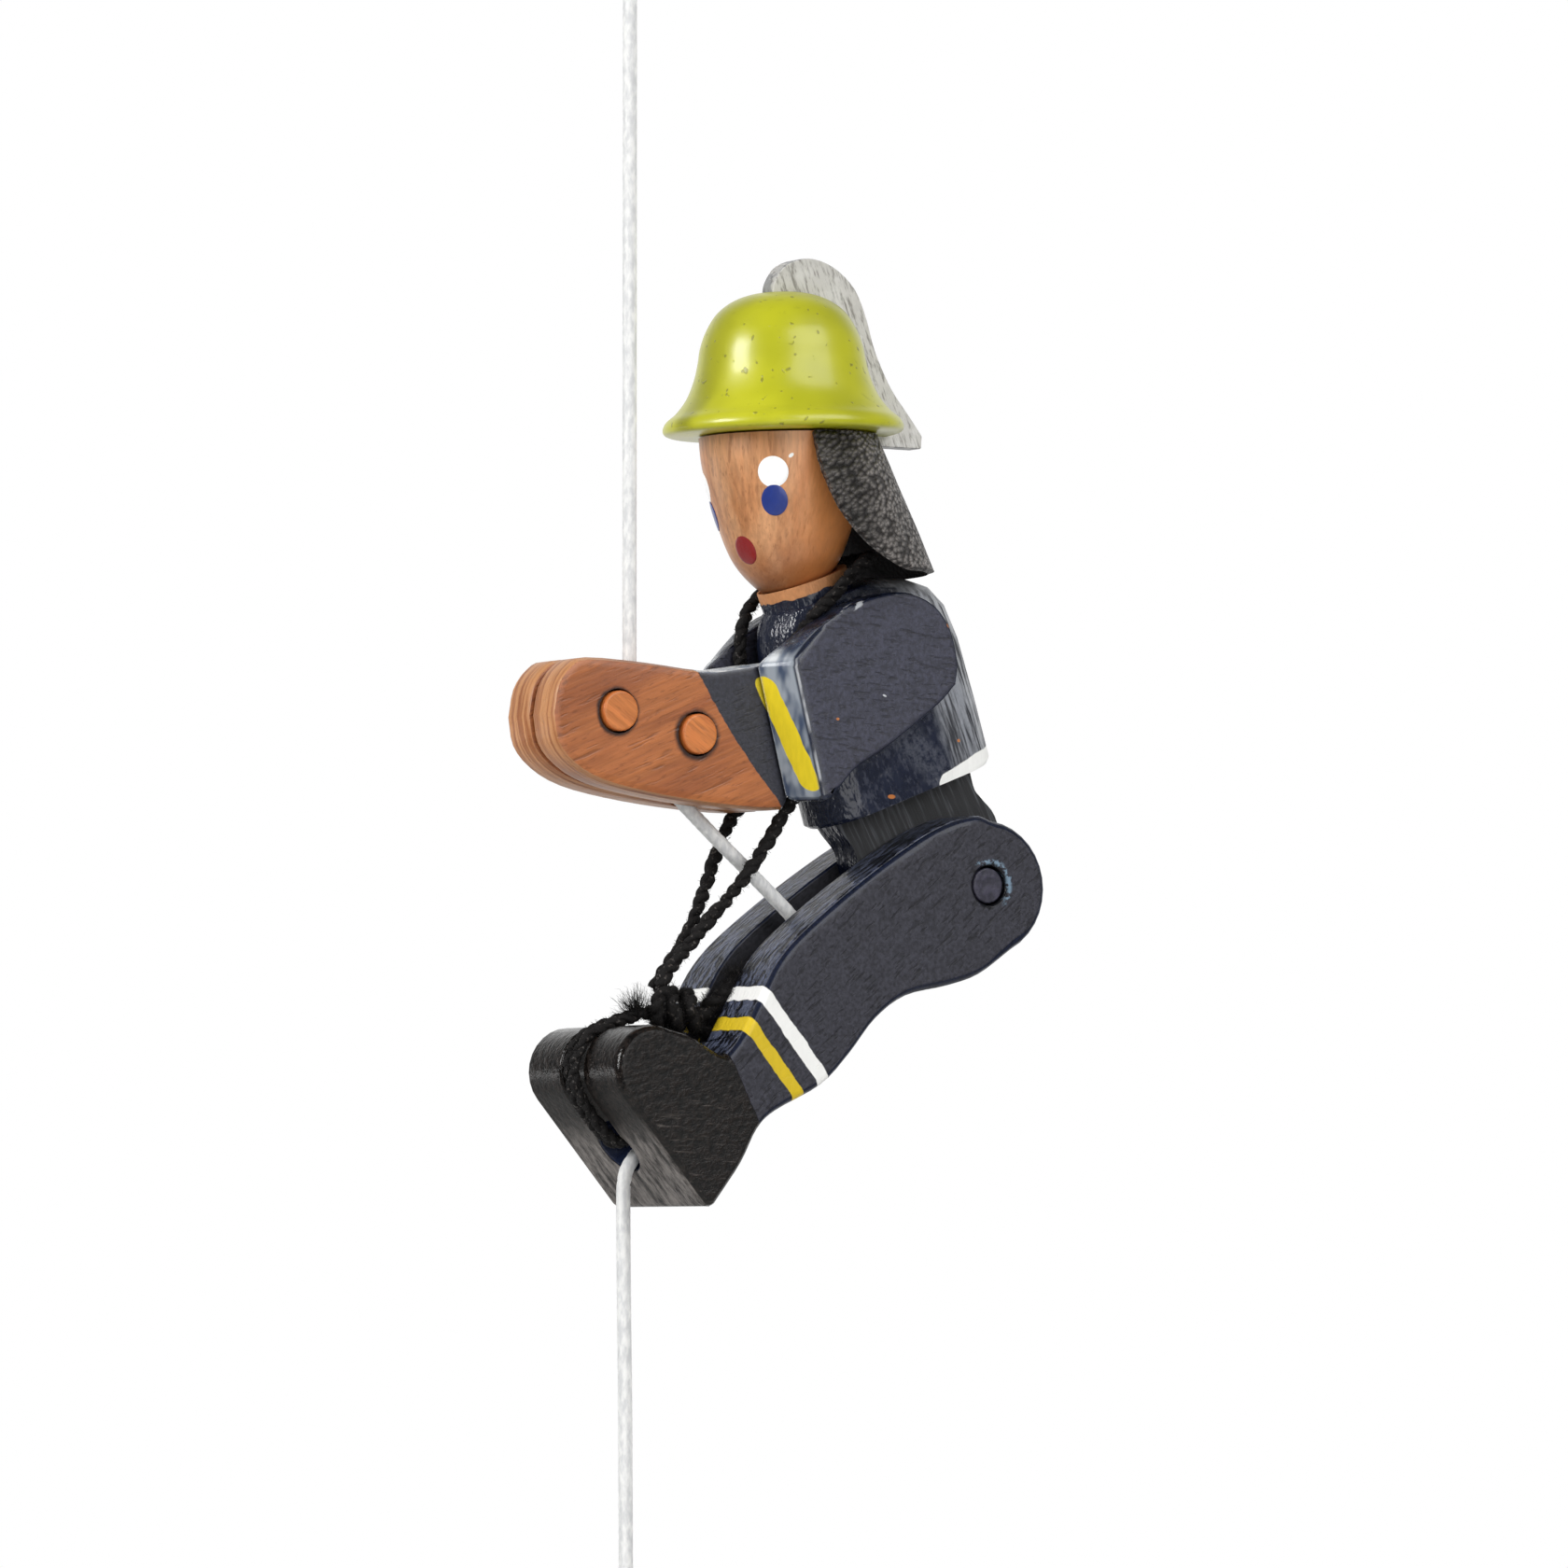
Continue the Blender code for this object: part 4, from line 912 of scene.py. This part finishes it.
def turned(node, profile, foot, material):
    """A finely turned piece along a smooth outline of radii and heights."""
    name = f"{node}_turned"
    outline, _ = smooth_path([(*row, 0.0) for row in profile], PROFILE_STEP)
    angle = np.linspace(0.0, 2 * math.pi, TURNED_SIDES, endpoint=False)[:, None]
    ring = np.cos(angle) * np.array(HEAD_FRONT) + np.sin(angle) * np.array(HEAD_SIDE)
    rings = [np.array(foot + height * HEAD_UP) + radius * ring for radius, height, _ in outline.tolist()]
    stand_for(show(name, grid_mesh(name, [np.array(rings)]), material), node)


def paint_dot(name, angle, drop, dab, material):
    """A dab of paint on the head: a shallow dome that follows the turned surface."""
    height, half_width, half_height, base = dab
    radii, heights, _ = smooth_path([(*row, 0.0) for row in HEAD_PROFILE], PROFILE_STEP)[0].T
    grid = []
    dome = [(share, base + DAB_DOME * math.sqrt(1.0 - share**2)) for share in DAB_SHARES]
    for share, lift in [(DAB_SHARES[-1], DAB_ROOT), (DAB_SHARES[0], DAB_ROOT), *dome]:
        ring = []
        for step in range(DAB_SIDES):
            turn = 2 * math.pi * step / DAB_SIDES
            up = height - drop + share * half_height * math.sin(turn)
            radius = float(np.interp(up, heights, radii))
            around = angle + share * half_width * math.cos(turn) / radius
            out = math.cos(around) * HEAD_FRONT + math.sin(around) * HEAD_SIDE
            ring.append(HEAD_FOOT + up * HEAD_UP + (radius + lift) * out)
        grid.append(ring)
    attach(show(name, grid_mesh(name, [np.array(grid)]), material), "figure")


def make_face():
    white = make_dot_look("eye_white_paint", "#f8f9f9")
    blue = make_dot_look("eye_blue_paint", "#172f7c")
    red = make_dot_look("mouth_paint", "#8c181c")
    for name, angle, drop in (
        ("left", FACE_TURN + EYE_SPREAD, 0.0), ("right", FACE_TURN - EYE_SPREAD, RIGHT_EYE_DROP)
    ):
        paint_dot(f"eye_white_{name}", angle, drop, EYE_WHITE, white)
        paint_dot(f"eye_blue_{name}", angle, drop, EYE_BLUE, blue)
    paint_dot("mouth", MOUTH_TURN, 0.0, MOUTH, red)


def make_flap(material):
    """Leather flap: the node's curved sheet, finer, with soft waves and a ragged edge."""
    top_radius, length, thickness = 0.0122, 0.0208, 0.0010
    flare, back_half, top_half = math.radians(21.5), math.radians(58.0), math.radians(103.0)
    columns, rows = 120, 40
    far_share = 0.92
    back = -HEAD_FRONT
    side = HEAD_UP.cross(back)
    chance = random.Random(5)
    waves = [(chance.uniform(6, 16), chance.uniform(200, 600), chance.uniform(0, 6.3)) for _ in range(7)]

    def place(around, share, outer):
        down = length * share
        half = back_half + (top_half - back_half) * math.sqrt(max(0.0, 1.0 - share**2))
        angle = around * half * (far_share if around > 0.0 else 1.0)
        wave = sum(math.sin(a * angle + b * down + c) for a, b, c in waves) / len(waves)
        lift = thickness * outer + 0.00016 * wave * min(1.0, 4 * share)
        radius = top_radius + down * math.sin(flare) + lift * math.cos(flare)
        height = -0.0003 - down * math.cos(flare) - (thickness - lift) * math.sin(flare)
        return HELMET_FOOT + height * HEAD_UP + radius * (math.cos(angle) * back + math.sin(angle) * side)

    rim = [(0.12, 1.0), (0.5, 1.0004), (0.88, 1.0)]
    steps = [2.0 * column / columns - 1.0 for column in range(columns + 1)]
    grid = []
    for row in range(rows + 1):
        share = math.sin(0.5 * math.pi * row / rows)
        edge = 1.0 - 0.004 * chance.random()
        ring = [place(step * edge, share * edge, 1.0) for step in steps]
        ring += [place(edge * bulge, share * edge, outer) for outer, bulge in reversed(rim)]
        ring += [place(step * edge, share * edge, 0.0) for step in reversed(steps)]
        ring += [place(-edge, share * edge, outer) for outer, _ in rim]
        grid.append(ring)
    flap = show("neck_flap_leather", grid_mesh("neck_flap_leather", [np.array(grid)]), material)
    stand_for(flap, "neck_flap")


# Routes of the cord and of the elastic. The left neck strand, the knot's turns and the tails
# are the scene's own


def millimetres(*points):
    """Places in metres of points in millimetres; a point of two numbers lies in the middle plane."""
    places = [(point[0], point[1] if point[2:] else 0.0, point[-1]) for point in points]
    return [tuple(round(value / 1000, 6) for value in place) for place in places]


def leg_place(down, forward):
    return tuple(HIP + down * LEG_DOWN + forward * LEG_FORWARD)


LOOP_ROUTE = millimetres(
    (-1, -14.4), (-2.5, -10.8), (-4.3, -6.2), (-3.8, -1.6), (0, 1), (3.8, -1.6), (4.3, -6.2),
    (2.5, -10.8), (1, -14.4),
)
UPPER_ROUTE = millimetres((0, -113.7), (0, -90), (0, -66), (0, -42), (0, -20.7))
HANDS_ROUTE = millimetres(
    (0, -113.5), (0, -118), (0.1, -121.2), (0.8, -124.3), (2.4, -126.7), (5.2, -129.7), (9, -133.5),
)
CROSSING_ROUTE = millimetres((8.8, -133.3), (14.3, -138.1), (19.7, -142.6), (25.4, -147.5))
CORD_PIN = (0.0242, 0.0026)
CORD_WRAP = 0.00255
LEG_CORD_IN = [(0.0225, 0.0150), (0.0221, 0.0105), (0.0217, 0.0065)]
LEG_CORD_OUT = [(0.0320, 0.0015), (0.0400, 0.0031), (0.0480, 0.0043), (0.0560, 0.0044), (0.0610, 0.0044)]
LEG_CORD_DROP = millimetres((0.9, -182.2), (-0.5, -184.3), (-0.9, -187))
LOWER_ROUTE = millimetres(
    (-0.7, -185.8), (-0.9, -187.5), (-0.8, -201), (-0.6, -215), (-0.5, -229), (-0.4, -242.8),
)
NAPE = (0.0376, 0.0, -0.0981)
RIGHT_NECK_ROUTE = millimetres(
    (36.2, 4, -98.6), (32.8, 7.4, -100.1), (28.4, 8.2, -102), (24.1, 7.2, -104.9), (21.9, 6, -109),
    (21.9, 5.7, -114.5), (24.2, 5.2, -120.5), (25.9, 5, -125.8),
)
LEFT_NECK_ROUTE = millimetres(
    (36.2, -4.2, -98.5), (34.2, -7.8, -98.6), (30.8, -8.8, -101), (28, -8.5, -104),
    (25.6, -7.6, -106.7), (24, -6.3, -109.4), (23.6, -5.8, -113), (25, -5.2, -120.5),
    (25.9, -5, -125.8),
)
RIGHT_STRAND = millimetres(
    (23.8, 5.2, -130.2), (19.8, 5.2, -134.9), (16.6, 4.2, -140.2), (11.2, 2.4, -150.6),
    (6.4, 1.5, -156.8), (4.9, 1.4, -158.9),
)
LEFT_STRAND = millimetres(
    (24.5, -5, -130.6), (22.2, -4.8, -134.5), (16.4, -3.6, -143.5), (10.3, -2.3, -150.6),
    (5.5, -1.5, -156.5), (4.1, -1.4, -158.7),
)
FOOT_LOOP_ROUTE = millimetres(
    (3.9, -0.2, -161.8), (-0.5, -0.7, -163), (-4.6, -1, -164.2), (-7.9, -1.2, -165.9),
    (-9.7, -1.3, -168.6), (-9.8, -1.3, -172), (-8.4, -1.2, -174.8), (-5.4, -1, -178.2),
    (-2.7, -0.9, -180.2), (0.5, -0.7, -179), (4.7, -0.4, -174.9), (10.1, 0, -170.4), (12.6, 0, -167.4),
    (12.3, 0, -164.1),
)
KNOT_TURNS = millimetres(
    (4.6, -1.4, -159), (2.8, -2.6, -161.2), (4, -0.8, -163.6), (6.4, 2, -163.4), (7.6, 2, -160.4),
    (6.2, -0.8, -159.4), (5.4, -2.8, -161.4), (6.6, -1.8, -163.8), (8.8, 1.2, -163.8),
    (10, 1.8, -161.2), (8.8, -0.6, -159.6), (8.2, -2.8, -161.2), (9.4, -1.8, -163.8),
    (11.6, 0.6, -163.8), (12.4, 0, -161.4),
)
FAR_TAIL_ROUTE = millimetres((9, 0.6, -162.4), (10, 3.4, -163), (9.9, 6, -163.6), (9.1, 8.4, -164))
TAIL_ROUTE = millimetres(
    (10.8, -0.8, -162.6), (12.4, -2, -160.8), (14, -2.6, -159.2), (15.8, -2.4, -157.2),
)


def knot_route(foot, height, radius):
    """Cord wound three times round itself, rising from a foot."""
    steps = 40
    points = []
    for step in range(steps + 1):
        share = step / steps
        angle = 2 * math.pi * KNOT_WINDS * share
        swell = radius * math.sin(math.pi * (0.12 + 0.76 * share)) ** 0.5
        points.append((foot[0] + swell * math.cos(angle), swell * math.sin(angle), foot[2] + height * share))
    return points


def make_cord(material):
    def piece(node, grids, kind="braid"):
        name = f"{node}_{kind}"
        obj = show(name, grid_mesh(name, grids), material)
        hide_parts(node)
        return obj

    lowest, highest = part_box("loop_knot")
    wound = (highest.x - lowest.x - CORD_D) / 2
    for node in ("loop_knot", "end_knot"):
        low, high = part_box(node)
        foot = ((low.x + high.x) / 2, 0.0, low.z + CORD_D / 2)
        height = high.z - low.z - CORD_D
        ends = [(foot[0], 0.0, low.z - KNOT_CORE), (foot[0], 0.0, high.z + KNOT_CORE)]
        core = [ends[0], np.mean(ends, axis=0), ends[1]]
        grids = [cord_grid(knot_route(foot, height, wound)), cord_grid(core)]
        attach(piece(node, grids, "wound"), "rope")

    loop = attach(piece("hanging_loop", [cord_grid(LOOP_ROUTE)]), "rope")
    upper = piece("cord_upper", [cord_grid(UPPER_ROUTE)])
    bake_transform(upper)
    hands = piece("cord_in_hands", [cord_grid(HANDS_ROUTE)])
    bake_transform(hands)
    crossing = piece("cord_crossing", [cord_grid(CROSSING_ROUTE)])
    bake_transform(crossing)
    wrap = []
    for step in range(5):
        angle = math.radians(180.0 + 98.0 * step / 4)
        wrap.append((CORD_PIN[0] + CORD_WRAP * math.cos(angle), CORD_PIN[1] + CORD_WRAP * math.sin(angle)))
    in_legs = [leg_place(*point) for point in (*LEG_CORD_IN, *wrap, *LEG_CORD_OUT)]
    legs = piece("cord_in_legs", [cord_grid([*in_legs, *LEG_CORD_DROP], CORD_TUCK)])
    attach(legs, "leg_block")
    lower = piece("cord_lower", [cord_grid(LOWER_ROUTE)])
    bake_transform(lower)


def make_elastic(material):
    chance = random.Random(11)

    def piece(name, grids, node=None):
        obj = show(name, grid_mesh(name, grids), material)
        if node:
            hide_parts(node)
        return obj

    left_side = [*LEFT_NECK_ROUTE, *LEFT_STRAND]
    band = [*reversed(left_side), NAPE, *RIGHT_NECK_ROUTE, *RIGHT_STRAND]
    yarn = piece("elastic_band_yarn", ply_grids(band, chance), "elastic_band")
    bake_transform(yarn)
    fuzz = piece("elastic_band_fuzz", fuzz_grids(band, 0.42 * ELASTIC_D, 3600, 0.0005, chance))
    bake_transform(fuzz)

    knot = piece("elastic_knot_yarn", ply_grids(KNOT_TURNS, chance, 0.0023), "elastic_knot")
    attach(knot, "leg_block")
    strands = []
    grids = fuzz_grids(KNOT_TURNS, 0.45 * ELASTIC_D, 1800, 0.0009, chance)
    for shift in (-FOOT_STRAND_SHIFT, FOOT_STRAND_SHIFT):
        strand = [(x, y + shift, z) for x, y, z in FOOT_LOOP_ROUTE]
        strands += ply_grids(strand, chance, 0.0018)
        grids += fuzz_grids(strand[:10], 0.0007, 900, 0.0006, chance)
    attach(piece("elastic_foot_loop_yarn", strands, "elastic_foot_loop"), "leg_block")
    tails = []
    for route in (TAIL_ROUTE, FAR_TAIL_ROUTE):
        tails += ply_grids(route, chance, 0.0026, lambda share: 1.0 - 0.45 * share**2)
        grids += fuzz_grids(route, 0.5 * ELASTIC_D, 700, 0.0013, chance)
    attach(piece("elastic_tail_yarn", tails), "leg_block")
    grids += tuft_grids((0.0002, -0.0014, -0.1622), (-0.45, 0.0, 0.9), 0.4, 0.0030, 300, chance)
    grids += tuft_grids(TAIL_ROUTE[-1], (0.6, -0.3, 0.5), 0.7, 0.0024, 260, chance)
    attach(piece("elastic_knot_fuzz", grids), "leg_block")


# Stage


def heading(azimuth, elevation):
    """Direction from the figure to a camera or lamp."""
    level = math.cos(elevation)
    return Vector((math.sin(azimuth) * level, -math.cos(azimuth) * level, math.sin(elevation)))


def make_camera():
    camera = bpy.data.cameras.new("photo_camera")
    camera.sensor_width = SENSOR
    camera.lens = SENSOR * VIEW_DISTANCE / VIEW_HEIGHT
    camera.clip_start = 0.01
    obj = place_in_scene("photo_camera", camera)
    obj.location = VIEW_TARGET + VIEW_DISTANCE * heading(VIEW_AZIMUTH, VIEW_ELEVATION)
    obj.rotation_euler = (math.pi / 2 - VIEW_ELEVATION, 0.0, VIEW_AZIMUTH)
    bpy.context.scene.camera = obj


def softbox(name, azimuth, elevation, distance, width, height, power):
    light = bpy.data.lights.new(name, "AREA")
    light.shape = "RECTANGLE"
    light.size = width
    light.size_y = height
    light.energy = power
    obj = place_in_scene(name, light)
    away = heading(math.radians(azimuth), math.radians(elevation))
    obj.location = VIEW_TARGET + distance * away
    obj.rotation_euler = away.to_track_quat("Z", "Y").to_euler()


def make_world():
    """White studio: a bright backdrop behind the figure, a dimmer room in front, white to the camera."""
    world = bpy.data.worlds.new("studio")
    bpy.context.scene.world = world
    world.use_nodes = True
    wires = Wires(world.node_tree)
    direction = wires.node("ShaderNodeTexCoord", {}, "Generated")
    behind = wires.ramp(wires.dot(direction, -heading(VIEW_AZIMUTH, 0.0)), 0.40, 0.95)
    seen = wires.node("ShaderNodeLightPath", {}, "Is Camera Ray")
    background = wires.nodes["Background"].inputs
    wires.put(background["Strength"], wires.math("MAXIMUM", seen, wires.blend(behind, ROOM_LEVEL, 1.0)))
    background["Color"].default_value = WHITE


def make_floor():
    bpy.ops.mesh.primitive_circle_add(vertices=64, radius=2.0, fill_type="NGON", location=(0.0, 0.0, -1.2))
    floor = bpy.context.object
    floor.name = "floor"
    look = Look("floor_paper", Emission_Color=WHITE)
    colour = look.shaded("#f4f4f2", look.noise(0.2), 0.98, 1.0)
    seen = look.node("ShaderNodeLightPath", {}, "Is Camera Ray")
    look.put(look.shader.inputs["Emission Strength"], seen * FLOOR_GLOW)
    floor.data.materials.append(look.finish(colour, 0.9))


def make_stage():
    make_camera()
    make_world()
    make_floor()
    for name, values in SOFTBOXES.items():
        softbox(name, *values)
    bpy.context.scene.view_settings.view_transform = "Standard"


def main():
    make_stage()
    make_cord(make_cord_look())
    make_elastic(make_elastic_look())

    dressed("torso", make_torso_look(), 0.00025)
    arm_look = make_upper_arm_look()
    hand_look = make_forearm_look()
    peg_look = make_peg_look()
    for side in ("left", "right"):
        dressed(f"upper_arm_{side}", arm_look)
        dressed(f"forearm_{side}", hand_look, shape=full_corner)
    for end in ("front", "rear"):
        dressed(f"{end}_hand_peg", peg_look, 0.0004)
    dressed("legs", make_leg_look(), 0.0004, clamped=False)
    dressed("hip_pin", make_pin_look(), 0.0003)
    dressed("helmet_crest", make_crest_look(), 0.0002)
    dressed("neck_dowel", peg_look, 0.0002)
    dressed("cord_pin", make_steel_look(), 0.0002)
    turned("head", HEAD_PROFILE, HEAD_FOOT, make_head_look())
    turned("helmet", HELMET_PROFILE, HELMET_FOOT, make_helmet_look())
    make_face()
    make_flap(make_leather_look())


main()
